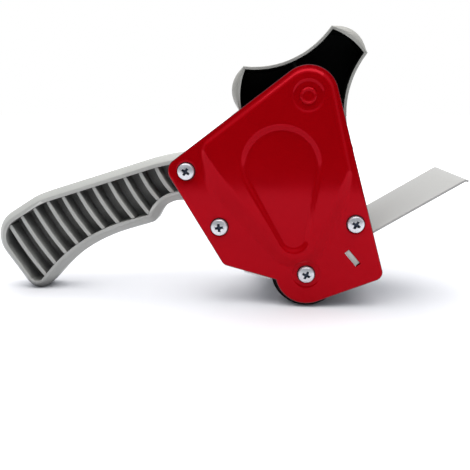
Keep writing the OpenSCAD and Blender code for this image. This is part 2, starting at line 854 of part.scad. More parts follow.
// Open three-lobed hub with a web, a bearing tube and a rib at each hollow
module core_hub() {
    far_rib_r = brake_washer_r + rib_gap;
    far_rib_end = hub_len - rib_set_back;
    color(grey_plastic) place() along_y(hub_at, hub_y) difference() {
        union() {
            difference() {
                hub_lobes(0, 0);
                difference() {
                    hub_lobes(hub_wall, 0.5);
                    translate([-hub_crown_r, -hub_crown_r, web_depth])
                        cube([2 * hub_crown_r, 2 * hub_crown_r, web_t]);
                }
            }
            cylinder(h = tube_end - hub_y, r = tube_r);
            for (k = [0 : 2]) rotate(-lobe_angle - 60 + 120 * k) {
                translate([0, -hub_rib_t / 2, 1]) cube([waist_r - hub_wall / 2, hub_rib_t, web_depth]);
                translate([far_rib_r, -hub_rib_t / 2, web_depth])
                    cube([waist_r - hub_wall / 2 - far_rib_r, hub_rib_t, far_rib_end - web_depth]);
            }
        }
        translate([0, 0, -1]) cylinder(h = hub_len + 2, r = hub_axle_r + run_fit);
    }
}

module friction_washer() {
    color(felt) place() ring(hub_at, felt_y, felt_y + felt_t, brake_washer_r, hub_axle_r + seat_fit);
}

module pressure_washer() {
    color(steel) place()
        ring(hub_at, pressure_y, pressure_y + steel_washer_t, brake_washer_r, hub_axle_r + seat_fit);
}

module brake_spring() {
    color(steel) place() wire(brake_path, brake_wire_d);
}

// Washer that slides along the thread under the knob
module spring_seat() {
    color(steel) place()
        ring(hub_at, seat_y, seat_y + steel_washer_t, seat_r, thread_r + run_fit);
}

// Fluted knob with a closed end
module tension_knob() {
    flute_r = knob_r * 0.22;
    flute_d = flute_r * 0.45;
    chamfer = 1;
    color(grey_plastic) place() along_y(hub_at, knob_y) difference() {
        union() {
            cylinder(h = knob_len - chamfer, r = knob_r);
            translate([0, 0, knob_len - chamfer - eps])
                cylinder(h = chamfer + eps, r1 = knob_r, r2 = knob_r - chamfer);
        }
        for (k = [0 : knob_flutes - 1])
            rotate(360 * k / knob_flutes) translate([knob_r + flute_r - flute_d, 0, 2 * chamfer])
                cylinder(h = knob_len, r = flute_r);
        translate([0, 0, -1]) cylinder(h = knob_len - knob_end_t + 1, r = insert_r + seat_fit);
    }
}

module knob_insert() {
    color(brass) place()
        ring(hub_at, knob_y, knob_end - knob_end_t - plate_hole_fit, insert_r, thread_r + run_fit);
}

// Axle with a collar against the plate, a screw hole and a groove for the clip
module roller_axle() {
    color(steel) place() difference() {
        union() {
            rod(roller_at, 0, collar_t, collar_r);
            rod(roller_at, 0, clip_y + eps, roller_axle_r);
            rod(roller_at, clip_y, clip_y + clip_t, clip_groove_r);
            rod(roller_at, clip_y + clip_t - eps, roller_axle_end, roller_axle_r);
        }
        rod(roller_at, -1, screw_len, screw_r + seat_fit);
    }
}

module roller_washers() {
    color(steel) place() for (y = [collar_t, far_washer_y])
        ring(roller_at, y, y + washer_t, washer_r, roller_axle_r + seat_fit);
}

// Plastic core with a hollow in each end
module roller_core() {
    hollow_d = 8;
    hollow_in = washer_r + 0.5;
    hollow_out = core_r - 2.5;
    color(black_plastic) place() difference() {
        rod(roller_at, roller_y, roller_y + roller_len, core_r);
        rod(roller_at, roller_y - 1, roller_y + roller_len + 1, roller_axle_r + run_fit);
        for (y = [roller_y - 1, roller_y + roller_len - hollow_d])
            ring(roller_at, y, y + hollow_d + 1, hollow_out, hollow_in);
    }
}

module roller_sleeve() {
    color(black_rubber) place()
        ring(roller_at, roller_y, roller_y + roller_len, roller_r, core_r + seat_fit / 2);
}

// Open ring in the axle's groove
module roller_clip() {
    mouth = 1.4 * clip_groove_r;
    play = end_play / 2;
    color(steel) place() difference() {
        ring(roller_at, clip_y + play, clip_y + clip_t - play, clip_r, clip_groove_r + seat_fit);
        along_y(roller_at, clip_y - 1)
            translate([0, -mouth / 2, 0]) cube([clip_r + 1, mouth, clip_t + 2]);
    }
}

// Bridge behind the plate's front: blade carrier, two cheeks and a tie bar
module front_bridge() {
    cheek_corners = [
        [bridge_screw_at[0], bridge_screw_at[1], tie_r + cheek_step],
        carrier_corner(-carrier_up),
        carrier_corner(blade_top - blade_gap - carrier_t / 2),
        [flap_pin_at[0], flap_pin_at[1], pin_r + pin_wall]
    ];
    color(grey_plastic) place() difference() {
        union() {
            carrier_frame() {
                translate([-carrier_up, cheek_t / 2, -carrier_t / 2])
                    cube([carrier_up + carrier_down, bridge_w - cheek_t, carrier_t]);
                translate([-tab_len / 2, -tab_out, -tab_t / 2])
                    cube([tab_len, tab_out + cheek_t, tab_t]);
            }
            for (y = [0, bridge_w - cheek_t]) slab(y, y + cheek_t) polygon(outline(cheek_corners));
            rod(bridge_screw_at, cheek_t / 2, bridge_w - cheek_t / 2, tie_r);
        }
        rod(bridge_screw_at, -1, screw_len, screw_r + seat_fit);
        rod(flap_pin_at, -1, bridge_w + 1, pin_r + seat_fit);
        blade_screw_places() translate([0, 0, -carrier_t - 1])
            cylinder(h = carrier_t + 2, r = small_screw_r + seat_fit);
    }
}

// A cheek's corner on the carrier's middle line, a step inside the carrier's faces
function carrier_corner(s) =
    let (p = tab_at + s * carrier_dir) [p[0], p[1], carrier_t / 2 - cheek_step];

// Places of the blade's screws, on the carrier's outer face
module blade_screw_places() {
    for (y = [bridge_w / 2 - blade_screw_step / 2, bridge_w / 2 + blade_screw_step / 2])
        carrier_frame() translate([blade_screw_s, y, carrier_t / 2]) children();
}

// Serrated blade on the carrier's outer face
module blade() {
    pitch = blade_w / tooth_count;
    root = blade_tip - tooth_d;
    edge = [
        for (k = [0 : tooth_count - 1])
            each [[root, k * pitch], [blade_tip, (k + 0.5) * pitch]]
    ];
    color(steel) place() difference() {
        carrier_frame() translate([0, blade_y, carrier_t / 2])
            linear_extrude(blade_t)
                polygon(concat([[blade_top, 0]], edge, [[root, blade_w], [blade_top, blade_w]]));
        blade_screw_places() translate([0, 0, -1])
            cylinder(h = blade_t + 2, r = small_screw_r + plate_hole_fit);
    }
}

module blade_screws() {
    color(zinc) place() blade_screw_places()
        translate([0, 0, blade_t]) rotate([180, 0, 0]) small_screw(blade_t + carrier_t - screw_short);
}

// Flap with two hinge barrels, a window for its spring and a lip at its tip
module wiper_flap() {
    root_t = flap_t - 0.2;
    root_gap = knuckle_y + 0.2;
    profile = [
        [flap_neck, -flap_t / 2], [flap_len - flap_t, -flap_t / 2], [flap_len - flap_t, -lip_h],
        [flap_len, -lip_h], [flap_len, flap_t / 2], [flap_neck, flap_t / 2]
    ];
    color(pale_grey) place() difference() {
        union() {
            rod(flap_pin_at, knuckle_y, bridge_w - knuckle_y, barrel_r);
            flap_frame() {
                translate([0, root_gap, -root_t / 2])
                    cube([flap_neck + 1, bridge_w - 2 * root_gap, root_t]);
                slab(flap_y, flap_y + flap_w) polygon(profile);
            }
        }
        flap_frame() translate([-barrel_r - 1, window_y, -barrel_r - 1])
            cube([barrel_r + 1 + window_end, window_w, 2 * barrel_r + 2]);
        rod(flap_pin_at, -1, bridge_w + 1, pin_r + run_fit);
    }
}

module flap_pin() {
    color(steel) place() rod(flap_pin_at, end_play, bridge_w + flap_clip_t + pin_proud, pin_r);
}

// Push-on cap at the pin's far end
module flap_clip() {
    color(steel) place()
        ring(flap_pin_at, bridge_w, bridge_w + flap_clip_t, flap_clip_r, pin_r + seat_fit);
}

module flap_spring() {
    color(steel) place() wire(flap_path, flap_wire_d);
}

// Bent sheet on the front of the handle's base, with a foot that reaches to the roller
module tape_guide() {
    tip = guide_bend + guide_len * guide_dir;
    color(pale_grey) place() difference() {
        slab(guide_y, guide_y + guide_w) {
            translate([base_front_x, guide_foot_z]) square([guide_t, guide_top_z - guide_foot_z]);
            polygon([guide_bend, tip, tip + guide_t * guide_up, guide_bend + guide_t * guide_up]);
        }
        guide_screw_places() translate([0, 0, -1])
            cylinder(h = guide_t + 2, r = small_screw_r + plate_hole_fit);
    }
}

// Places of the guide's screws, with Z into the handle's base
module guide_screw_places() {
    for (k = [0, 1])
        translate([base_front_x + guide_t, grip_mid, guide_screw_z + k * guide_screw_step])
            rotate([0, -90, 0]) children();
}

module guide_screws() {
    color(zinc) place() guide_screw_places() small_screw(guide_t + guide_screw_len - screw_short);
}

side_plate();
handle();
handle_screws();
roller_screw();
bridge_screw();
hub_axle();
hub_washer();
core_hub();
friction_washer();
pressure_washer();
brake_spring();
spring_seat();
tension_knob();
knob_insert();
roller_axle();
roller_washers();
roller_core();
roller_sleeve();
roller_clip();
front_bridge();
blade();
blade_screws();
wiper_flap();
flap_pin();
flap_clip();
flap_spring();
tape_guide();
guide_screws();
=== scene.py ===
import math

import bmesh
import bpy
import numpy as np
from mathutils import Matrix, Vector
from mathutils.geometry import delaunay_2d_cdt

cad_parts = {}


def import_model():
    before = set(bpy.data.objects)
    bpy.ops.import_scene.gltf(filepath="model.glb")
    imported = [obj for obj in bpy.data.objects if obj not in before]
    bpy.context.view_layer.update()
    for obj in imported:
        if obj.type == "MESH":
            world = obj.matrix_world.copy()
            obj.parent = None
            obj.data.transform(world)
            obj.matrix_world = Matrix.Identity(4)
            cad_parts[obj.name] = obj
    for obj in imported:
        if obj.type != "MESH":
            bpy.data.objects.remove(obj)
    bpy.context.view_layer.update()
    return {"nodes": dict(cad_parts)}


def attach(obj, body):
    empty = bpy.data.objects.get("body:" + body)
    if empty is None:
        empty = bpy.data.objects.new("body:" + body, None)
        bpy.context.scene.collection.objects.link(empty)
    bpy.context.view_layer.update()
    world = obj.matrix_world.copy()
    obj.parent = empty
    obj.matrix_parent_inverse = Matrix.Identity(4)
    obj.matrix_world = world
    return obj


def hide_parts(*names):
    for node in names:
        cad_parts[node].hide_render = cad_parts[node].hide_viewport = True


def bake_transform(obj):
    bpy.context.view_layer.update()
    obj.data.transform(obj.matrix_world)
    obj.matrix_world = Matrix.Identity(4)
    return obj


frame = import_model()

# Lengths below are in millimetres, in the part's own drawing frame: X from the roller's axis,
# Y from the plate's inner face, Z from the floor. row() turns them into the frame's metres.
SHIFT_X = 47.4574
SHIFT_Y = -26.15
MM = 0.001

# Places and sizes that several pieces share
PLATE_T = 1.5
HUB = (-0.6, 110.7)
ROLLER = (0.0, 18.5)
UPPER_SCREW = (-62.2, 72.7)
LOWER_SCREW = (-45.5, 43.6)
BRIDGE_SCREW = (24.8, 46.0)
SCREWS = (UPPER_SCREW, LOWER_SCREW, ROLLER, BRIDGE_SCREW)
TAB = (23.65, 27.9)
CARRIER_ANGLE = 50.0
FLAP_PIN = (24.4, 34.9)
FLAP_ANGLE = 31.5
BRIDGE_W = 52.0
GRIP_Y = 16.0
GRIP_END = 31.0


def row(x, y, z):
    return ((x + SHIFT_X) * MM, (y + SHIFT_Y) * MM, z * MM)


def unit(angle):
    a = math.radians(angle)
    return np.array((math.cos(a), math.sin(a)))


def smooth(t):
    t = np.clip(t, 0.0, 1.0)
    return t * t * (3 - 2 * t)


def carrier(s, v=0.0):
    """A point on the blade carrier: s down it, v out of its face."""
    return np.array(TAB) + s * unit(-CARRIER_ANGLE) + v * unit(90 - CARRIER_ANGLE)


# Materials

NOISE_ROUGHNESS = 0.55
CLOUD_DETAIL = 5.0
FINE_DETAIL = 3.0
CLOUD_RANGE = (0.3, 0.7)
FLECK_RANGE = (0.35, 0.65)
FLECK_SHARE = 0.35
EDGE_WEAR_AND_HIGHLIGHT_RANGE = (0.53, 0.62)
HOLLOW_DEPTH = 10.0
HOLLOW_RANGE = (0.35, 0.8)
HOLLOW_SAMPLES = 8


def set_inputs(tree, node, inputs):
    """Links each input that is given a socket and sets the others."""
    for key, value in inputs.items():
        if isinstance(value, bpy.types.NodeSocket):
            tree.links.new(value, node.inputs[key])
        else:
            node.inputs[key].default_value = value


def add_node(tree, kind, inputs):
    node = tree.nodes.new(kind)
    set_inputs(tree, node, inputs)
    return node


def noise(tree, scale, detail, stretch=(1, 1, 1)):
    coord = tree.nodes.new("ShaderNodeTexCoord").outputs["Object"]
    mapping = add_node(tree, "ShaderNodeMapping", {"Vector": coord, "Scale": stretch})
    look = {"Scale": scale, "Detail": detail, "Roughness": NOISE_ROUGHNESS}
    return add_node(tree, "ShaderNodeTexNoise", {"Vector": mapping.outputs["Vector"], **look}).outputs["Fac"]


def ranged(tree, value, start, end, low=0.0, high=1.0):
    limits = {"From Min": start, "From Max": end, "To Min": low, "To Max": high}
    return add_node(tree, "ShaderNodeMapRange", {"Value": value, **limits}).outputs["Result"]


def mixed(tree, factor, a, b):
    node = tree.nodes.new("ShaderNodeMix")
    node.data_type = "RGBA"
    colours = [v + (1.0,) if isinstance(v, tuple) else v for v in (a, b)]
    set_inputs(tree, node, {0: factor, 6: colours[0], 7: colours[1]})
    return node.outputs[2]


def bumped(tree, height, strength, distance_mm):
    inputs = {"Strength": strength, "Distance": distance_mm * MM, "Height": height}
    return add_node(tree, "ShaderNodeBump", inputs).outputs["Normal"]


def edges(tree):
    """0 on flat and hollow faces, rising to 1 along edges."""
    geometry = tree.nodes.new("ShaderNodeNewGeometry")
    return ranged(tree, geometry.outputs["Pointiness"], *EDGE_WEAR_AND_HIGHLIGHT_RANGE)


def hollow_shade_mask(tree):
    """1 on open faces, falling to 0 deep in recesses, where painted shade darkens the colour."""
    node = add_node(tree, "ShaderNodeAmbientOcclusion", {"Distance": HOLLOW_DEPTH * MM})
    node.samples = HOLLOW_SAMPLES
    return ranged(tree, node.outputs["AO"], *HOLLOW_RANGE)


def scaled(colour, k):
    return tuple(min(1.0, c * k) for c in colour)


MAT = {}


def surface(name, colour, roughness, metallic=0.0, mottle=0.06, mottle_scale=60.0, grain=0.2, grain_mm=0.03,
            grain_scale=2200.0, stretch=(1, 1, 1), spread=0.06, edge_wear_and_highlight=None, specular=0.5,
            tint=(1.0, 1.0, 1.0), sheen=0.0, hollow_shade=None):
    """A surface whose colour, roughness and fine relief all vary.

    edge_wear_and_highlight is the colour along its edges, painted highlight on the grey plastics;
    hollow_shade is the share of its colour left deep in recesses, painted shade.
    """
    mat = bpy.data.materials.new(name)
    mat.use_nodes = True
    tree = mat.node_tree
    shader = tree.nodes["Principled BSDF"]
    cloud = noise(tree, mottle_scale, CLOUD_DETAIL)
    fine = noise(tree, grain_scale, FINE_DETAIL, stretch)
    patches = ranged(tree, cloud, *CLOUD_RANGE)
    base = mixed(tree, patches, scaled(colour, 1 - mottle), scaled(colour, 1 + mottle))
    flecks = ranged(tree, fine, *FLECK_RANGE, 0.0, FLECK_SHARE)
    base = mixed(tree, flecks, base, scaled(colour, 1 - 2 * mottle))
    # Edge colour: painted highlight on the grey plastics.
    if edge_wear_and_highlight is not None:
        base = mixed(tree, edges(tree), base, edge_wear_and_highlight)
    # Darker deep in recesses: painted shade.
    if hollow_shade is not None:
        base = mixed(tree, hollow_shade_mask(tree), scaled(colour, hollow_shade), base)
    dullness = ranged(tree, cloud, *CLOUD_RANGE, roughness - spread, roughness + spread)
    set_inputs(tree, shader, {
        "Base Color": base, "Roughness": dullness, "Normal": bumped(tree, fine, grain, grain_mm),
        "Metallic": metallic, "Specular IOR Level": specular, "Specular Tint": tint + (1.0,),
        "Sheen Weight": sheen,
    })
    MAT[name] = mat


surface("red_paint", (0.372, 0.0003, 0.003), 0.12, metallic=0.19, mottle=0.04, mottle_scale=45.0,
        grain=0.10, grain_mm=0.02, grain_scale=900.0, spread=0.02, specular=0.09, tint=(0.8, 0.6, 1.0))
# Near black red for a ring on the plate round each screw head: painted shade.
surface("painted_screw_shade", (0.055, 0.002, 0.006), 0.30, mottle=0.2, mottle_scale=300.0, grain=0.15,
        grain_mm=0.02, grain_scale=1500.0, specular=0.2)
surface("paint_edge", (0.11, 0.012, 0.020), 0.22, mottle=0.15, mottle_scale=200.0, grain=0.15,
        grain_mm=0.01, grain_scale=1500.0, specular=0.8)
# Edges painted lighter as highlight, recesses painted darker as shade.
surface("grey_plastic", (0.36, 0.36, 0.345), 0.46, mottle=0.04, mottle_scale=70.0, grain=0.35,
        grain_mm=0.03, grain_scale=1800.0, edge_wear_and_highlight=(0.52, 0.52, 0.50), hollow_shade=0.30)
# Edges painted lighter as highlight.
surface("hub_plastic", (0.24, 0.235, 0.218), 0.42, mottle=0.04, mottle_scale=60.0, grain=0.2, grain_mm=0.02,
        edge_wear_and_highlight=(0.45, 0.45, 0.43))
surface("pale_plastic", (0.335, 0.331, 0.324), 0.40, mottle=0.03, mottle_scale=50.0, grain=0.15,
        grain_mm=0.02, stretch=(1, 0.15, 1))
surface("guide_plastic", (0.80, 0.795, 0.78), 0.40, mottle=0.03, mottle_scale=50.0, grain=0.15,
        grain_mm=0.02, stretch=(1, 0.15, 1))
surface("zinc", (0.66, 0.67, 0.71), 0.36, metallic=0.75, mottle=0.05, mottle_scale=300.0, grain=0.15,
        grain_mm=0.01, grain_scale=2600.0, edge_wear_and_highlight=(0.92, 0.92, 0.94))
# Dark navy for the faces deep in each screw's cross: painted shade.
surface("recess", (0.035, 0.045, 0.075), 0.38, metallic=0.5, mottle=0.25, mottle_scale=900.0, grain=0.3,
        grain_mm=0.02, grain_scale=2600.0, specular=0.3)
surface("steel", (0.56, 0.56, 0.57), 0.30, metallic=1.0, mottle=0.06, mottle_scale=120.0, grain=0.25,
        grain_mm=0.012, grain_scale=90.0, stretch=(1, 30, 1), edge_wear_and_highlight=(0.72, 0.72, 0.73))
surface("spring_steel", (0.42, 0.42, 0.44), 0.28, metallic=1.0, mottle=0.08, mottle_scale=200.0, grain=0.2,
        grain_mm=0.008, grain_scale=2400.0)
surface("blade_steel", (0.62, 0.63, 0.65), 0.26, metallic=1.0, mottle=0.05, mottle_scale=90.0, grain=0.3,
        grain_mm=0.01, grain_scale=120.0, stretch=(20, 1, 20), edge_wear_and_highlight=(0.82, 0.82, 0.84))
surface("brass", (0.62, 0.43, 0.16), 0.28, metallic=1.0, mottle=0.07, mottle_scale=150.0, grain=0.2,
        grain_mm=0.01, grain_scale=90.0, stretch=(1, 25, 1), edge_wear_and_highlight=(0.75, 0.56, 0.26))
surface("black_plastic", (0.012, 0.012, 0.013), 0.42, mottle=0.15, mottle_scale=80.0, grain=0.3,
        grain_mm=0.03, edge_wear_and_highlight=(0.03, 0.03, 0.032))
# Near black for the hub's inner faces on the plate's side: painted shade.
surface("hub_inside_shade", (0.0030, 0.0040, 0.0032), 0.5, mottle=0.2, mottle_scale=80.0, grain=0.2,
        grain_mm=0.02, specular=0.12)
surface("black_rubber", (0.002, 0.0016, 0.0016), 0.62, mottle=0.25, mottle_scale=110.0, grain=0.5,
        grain_mm=0.05, grain_scale=40.0, stretch=(1, 40, 1), edge_wear_and_highlight=(0.006, 0.005, 0.005), specular=0.05)
surface("felt", (0.10, 0.085, 0.065), 0.95, mottle=0.25, mottle_scale=260.0, grain=1.0, grain_mm=0.25,
        grain_scale=1500.0, specular=0.1, sheen=0.4)


# Mesh making

WELD_M = 1e-7
MIN_CORNER_R = 0.05
ARC_STEP = 3.0
MITRE_LIMIT = 0.3
SHORT_RUN = 0.1
BEVEL_SEGMENTS = 2


class Shape:
    """Vertices and faces in drawing millimetres, with a material number for each face."""

    def __init__(self):
        self.points = []
        self.faces = []
        self.marks = []

    def ring(self, points):
        first = len(self.points)
        self.points.extend(tuple(float(c) for c in p) for p in points)
        return list(range(first, len(self.points)))

    def face(self, corners, mark=0):
        self.faces.append(tuple(corners))
        self.marks.append(mark)

    def bridge(self, a, b, mark=0):
        n = len(a)
        for i in range(n):
            j = (i + 1) % n
            self.face((a[i], a[j], b[j], b[i]), mark)

    def skin(self, rings, mark=0):
        for a, b in zip(rings, rings[1:]):
            self.bridge(a, b, mark)

    def solid(self, rings, mark=0):
        self.skin(rings, mark)
        self.face(rings[0], mark)
        self.face(rings[-1], mark)

    def add(self, other):
        first = len(self.points)
        self.points.extend(other.points)
        for f, m in zip(other.faces, other.marks):
            self.face(tuple(i + first for i in f), m)

    def mesh(self, name, materials):
        data = bpy.data.meshes.new(name)
        data.from_pydata([row(*p) for p in self.points], [], self.faces)
        for m in materials:
            data.materials.append(m)
        data.polygons.foreach_set("material_index", self.marks)
        bm = bmesh.new()
        bm.from_mesh(data)
        bmesh.ops.remove_doubles(bm, verts=bm.verts, dist=WELD_M)
        bmesh.ops.recalc_face_normals(bm, faces=bm.faces)
        bm.to_mesh(data)
        bm.free()
        return data


def finish_mesh(data, sharp=32.0):
    data.polygons.foreach_set("use_smooth", [True] * len(data.polygons))
    data.set_sharp_from_angle(angle=math.radians(sharp))


def soften(obj, width_mm, angle=35.0, harden=True):
    mod = obj.modifiers.new("edge", "BEVEL")
    mod.width = width_mm * MM
    mod.segments = BEVEL_SEGMENTS
    mod.limit_method = "ANGLE"
    mod.angle_limit = math.radians(angle)
    mod.harden_normals = harden


def linked(name, data):
    obj = bpy.data.objects.new(name, data)
    bpy.context.scene.collection.objects.link(obj)
    return obj


def put(name, data, body, nodes=(), bevel_mm=0.0, sharp=32.0):
    finish_mesh(data, sharp)
    obj = linked(name, data)
    if bevel_mm:
        soften(obj, bevel_mm)
    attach(obj, body)
    if nodes:
        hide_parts(*nodes)


def piece(name, shape, body, slot, materials=None, nodes=(), bevel_mm=0.0, sharp=32.0):
    data = shape.mesh(name, materials or [MAT[slot]])
    put(name, data, body, nodes, bevel_mm, sharp)


def free_piece(name, shape, slot, start, end, node):
    """A piece made in place on no body, with its node hidden."""
    data = shape.mesh(name, [MAT[slot]])
    finish_mesh(data)
    obj = linked(name, data)
    row(*start)
    row(*end)
    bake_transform(obj)
    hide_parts(node)


def at_angle(at, r, angle, y):
    """A point at a radius and an angle round an axis along Y."""
    a = math.radians(angle)
    return np.array((at[0] + r * math.cos(a), y, at[1] + r * math.sin(a)))


def circle(at, y, r, n):
    return [at_angle(at, r, 360 * k / n, y) for k in range(n)]


def spokes(n, turn=0.0):
    """Cosines and sines of n even angles, the first at turn degrees."""
    angles = [2 * math.pi * k / n + math.radians(turn) for k in range(n)]
    return [(math.cos(a), math.sin(a)) for a in angles]


def lathe(at, profile, n=72, loop=False, marks=None):
    """A turned form about an axis along Y; profile holds (radius, depth) pairs, radius 0 closes an end."""
    shape = Shape()
    rings = []
    for r, y in profile:
        rings.append(shape.ring(circle(at, y, r, n) if r > 0 else [(at[0], y, at[1])]))
    pairs = list(zip(rings, rings[1:]))
    if loop:
        pairs.append((rings[-1], rings[0]))
    for i, (a, b) in enumerate(pairs):
        mark = marks[i] if marks else 0
        if len(a) == 1:
            for k in range(n):
                shape.face((a[0], b[k], b[(k + 1) % n]), mark)
        elif len(b) == 1:
            for k in range(n):
                shape.face((b[0], a[(k + 1) % n], a[k]), mark)
        else:
            shape.bridge(a, b, mark)
    return shape


def run_normal(p, q):
    """Angle of the line that touches two round corners."""
    dx, dz = q[0] - p[0], q[1] - p[1]
    return math.degrees(math.atan2(dz, dx) + math.acos((q[2] - p[2]) / math.hypot(dx, dz)))


def outline(corners, inset=0.0):
    """Points of an outline with round corners (X, Z, radius), counter-clockwise.

    A radius below 0 bends inward.
    """
    n = len(corners)
    moved = [(x, z, max(r - inset, MIN_CORNER_R) if r > 0 else r - inset) for x, z, r in corners]
    points = []
    for i in range(n):
        sweeps = []
        for source in (corners, moved):
            a = run_normal(source[i - 1], source[i])
            b = run_normal(source[i], source[(i + 1) % n])
            sweep = (b - a + 720) % 360 if source[i][2] > 0 else -((a - b + 720) % 360)
            sweeps.append((a, sweep))
        steps = max(1, math.ceil(abs(sweeps[0][1]) / ARC_STEP - 1e-6))
        a, sweep = sweeps[1]
        for k in range(steps + 1):
            points.append(np.array(moved[i][:2]) - moved[i][2] * unit(a + sweep * k / steps))
    return np.array(points)


def arc(corner, a, b):
    """Points along one round corner, between two angles."""
    sweep = (b - a + 720) % 360
    k = max(1, math.ceil(sweep / ARC_STEP))
    return [np.array(corner[:2]) - corner[2] * unit(a + sweep * i / k) for i in range(k + 1)]


def clipped(pts, x):
    """The part of an outline on the low side of a line of constant X."""
    out = []
    for p, q in zip(pts, np.roll(pts, -1, axis=0)):
        if p[0] <= x:
            out.append(p)
        if (p[0] <= x) != (q[0] <= x):
            out.append(p + (q - p) * (x - p[0]) / (q[0] - p[0]))
    return np.array(out)


def inside(poly, pts):
    x, z = pts[:, 0], pts[:, 1]
    hit = np.zeros(len(pts), bool)
    for (x0, z0), (x1, z1) in zip(poly, np.roll(poly, -1, axis=0)):
        cross = (z0 > z) != (z1 > z)
        if cross.any():
            hit ^= cross & (x < x0 + (z - z0) * (x1 - x0) / (z1 - z0))
    return hit


def signed_distance(poly, pts):
    """Distance to a closed outline, below 0 inside it."""
    best = np.full(len(pts), np.inf)
    for p, e in zip(poly, np.roll(poly, -1, axis=0) - poly):
        w = pts - p
        t = np.clip(w @ e / max(e @ e, 1e-12), 0, 1)
        best = np.minimum(best, np.hypot(*(w - t[:, None] * e).T))
    return np.where(inside(poly, pts), -best, best)


def shrink(poly, by):
    """A closed outline moved inward along its corner normals."""
    before = poly - np.roll(poly, 1, axis=0)
    after = np.roll(poly, -1, axis=0) - poly
    before /= np.maximum(np.linalg.norm(before, axis=1), 1e-9)[:, None]
    after /= np.maximum(np.linalg.norm(after, axis=1), 1e-9)[:, None]
    n0 = np.stack((-before[:, 1], before[:, 0]), axis=1)
    n1 = np.stack((-after[:, 1], after[:, 0]), axis=1)
    m = n0 + n1
    m /= np.maximum(np.einsum("ij,ij->i", m, n0), MITRE_LIMIT)[:, None]
    return poly + by * m


def even(poly, step):
    """The same outline with long runs divided and points closer than a tenth of the step dropped."""
    out = []
    for p, q in zip(poly, np.roll(poly, -1, axis=0)):
        length = np.linalg.norm(q - p)
        if length < step * SHORT_RUN:
            continue
        k = max(1, math.ceil(length / step))
        out.extend(p + (q - p) * i / k for i in range(k))
    return np.array(out)


def tube(path, radius, sides=12):
    """A round wire along a path."""
    shape = Shape()
    path = np.array(path)
    rings = []
    for i, p in enumerate(path):
        t = path[min(i + 1, len(path) - 1)] - path[max(i - 1, 0)]
        t /= np.linalg.norm(t)
        side = np.cross(t, (0, 1, 0))
        side /= np.linalg.norm(side)
        up = np.cross(side, t)
        rings.append(shape.ring([p + radius * (c * side + s * up) for c, s in spokes(sides)]))
    shape.solid(rings)
    return shape


# Side plate: one sheet with a raised area, a sunk teardrop in it and two shallow dishes

PLATE_HUB = (*HUB, 15.0)
PLATE_REAR = (-65.0, 72.8, 6.7)
PLATE_HEEL = (-40.6, 26.9, 4.6)
PLATE_CHIN = (*ROLLER, 7.4)
PLATE_ROUND = (*ROLLER, 16.2)
PLATE_TOE = (35.1, 20.1, 4.6)
PLATE_STEP = 1.6
EMBOSS_RISE = 1.4
EMBOSS_CREST = [(*HUB, 11.1), (-47.2, 83.5, 4.6), (-5.6, 38.3, 10.0), (17.2, 73.0, 2.5)]
EMBOSS_FOOT = [
    (*HUB, 13.6), (-47.2, 83.5, 7.1), (-34.0, 72.0, 19.5),
    (-5.6, 38.3, 17.0), (9.5, 60.0, 11.5), (17.2, 73.0, 5.0),
]
EMBOSS_STEP = 2.0
TEARDROP = [(-13.6, 76.1, 19.3), (-6.8, 38.5, 7.0)]
TEARDROP_STEP = 1.5
TEARDROP_DIP = 1.3
TEARDROP_SLOPE = 2.6
DISH_R = 7.6
DISH_DIP = 0.65
DISH_SLOPE = 1.6
SPOT_R = 7.2
SPOT_DIP = 0.4
SPOT_SLOPE = 1.2
SEAT_R = 4.8
SEAT_DIP = 0.3
SEAT_SLOPE = 1.0
SHADE_R = 4.95
RIM_INSET = 0.35
RIM_LEVELS = [
    (RIM_INSET, -PLATE_T), (0.1, 0.1 - PLATE_T), (0.0, 0.35 - PLATE_T), (0.0, -0.2), (RIM_INSET, 0.0),
]
SLOT_UP, SLOT_DOWN = -4.6, 5.2
SLOT_HALF = 1.5
SLOT_STEP = 1.2

# Mesh points of the sheet: a grid, and rings where a dish bends it
GRID_STEP = 0.8
GRID_OFF_RIM = 0.6
GRID_OFF_SLOT = 0.5
GRID_OFF_RING = 0.35
RING_ANGLE = 7.5
SEAT_RINGS = (3.9, 4.4, 4.9, 5.5)
DISH_RINGS = (6.6, 7.0, 7.4, 7.8, 8.2, 8.6)
SPOT_RINGS = (6.4, 6.7, 7.0, 7.3, 7.6, 7.9)


def plate_outline():
    hub_rear = run_normal(PLATE_HUB, PLATE_REAR)
    rear_heel = run_normal(PLATE_REAR, PLATE_HEEL)
    heel_chin = run_normal(PLATE_HEEL, PLATE_CHIN)
    round_toe = run_normal(PLATE_ROUND, PLATE_TOE)
    toe_hub = run_normal(PLATE_TOE, PLATE_HUB)
    # The lower edge runs from the heel straight into the round part below the roller's screw
    p = np.array(PLATE_HEEL[:2]) - PLATE_HEEL[2] * unit(heel_chin)
    d = np.array(PLATE_CHIN[:2]) - PLATE_CHIN[2] * unit(heel_chin) - p
    d /= np.linalg.norm(d)
    w = p - np.array(ROLLER)
    along = w @ d
    meet = p + d * (-along - math.sqrt(along * along - w @ w + PLATE_ROUND[2] ** 2))
    start = math.degrees(math.atan2(ROLLER[1] - meet[1], ROLLER[0] - meet[0]))
    points = arc(PLATE_HUB, toe_hub, hub_rear) + arc(PLATE_REAR, hub_rear, rear_heel)
    points += arc(PLATE_HEEL, rear_heel, heel_chin) + arc(PLATE_ROUND, start, round_toe)
    points += arc(PLATE_TOE, round_toe, toe_hub)
    return even(np.array(points), PLATE_STEP)


def plate_slot():
    ends = ((SLOT_UP, -SLOT_HALF), (SLOT_DOWN, -SLOT_HALF), (SLOT_DOWN, SLOT_HALF), (SLOT_UP, SLOT_HALF))
    return even(np.array([carrier(s, v) for s, v in ends]), SLOT_STEP)


def from_point(pts, at):
    return np.hypot(pts[:, 0] - at[0], pts[:, 1] - at[1])


def sunk(edge, depth, slope):
    """Depth of a sunk area at a distance from its edge, which slopes over a width."""
    return depth * (1 - smooth((edge + slope / 2) / slope))


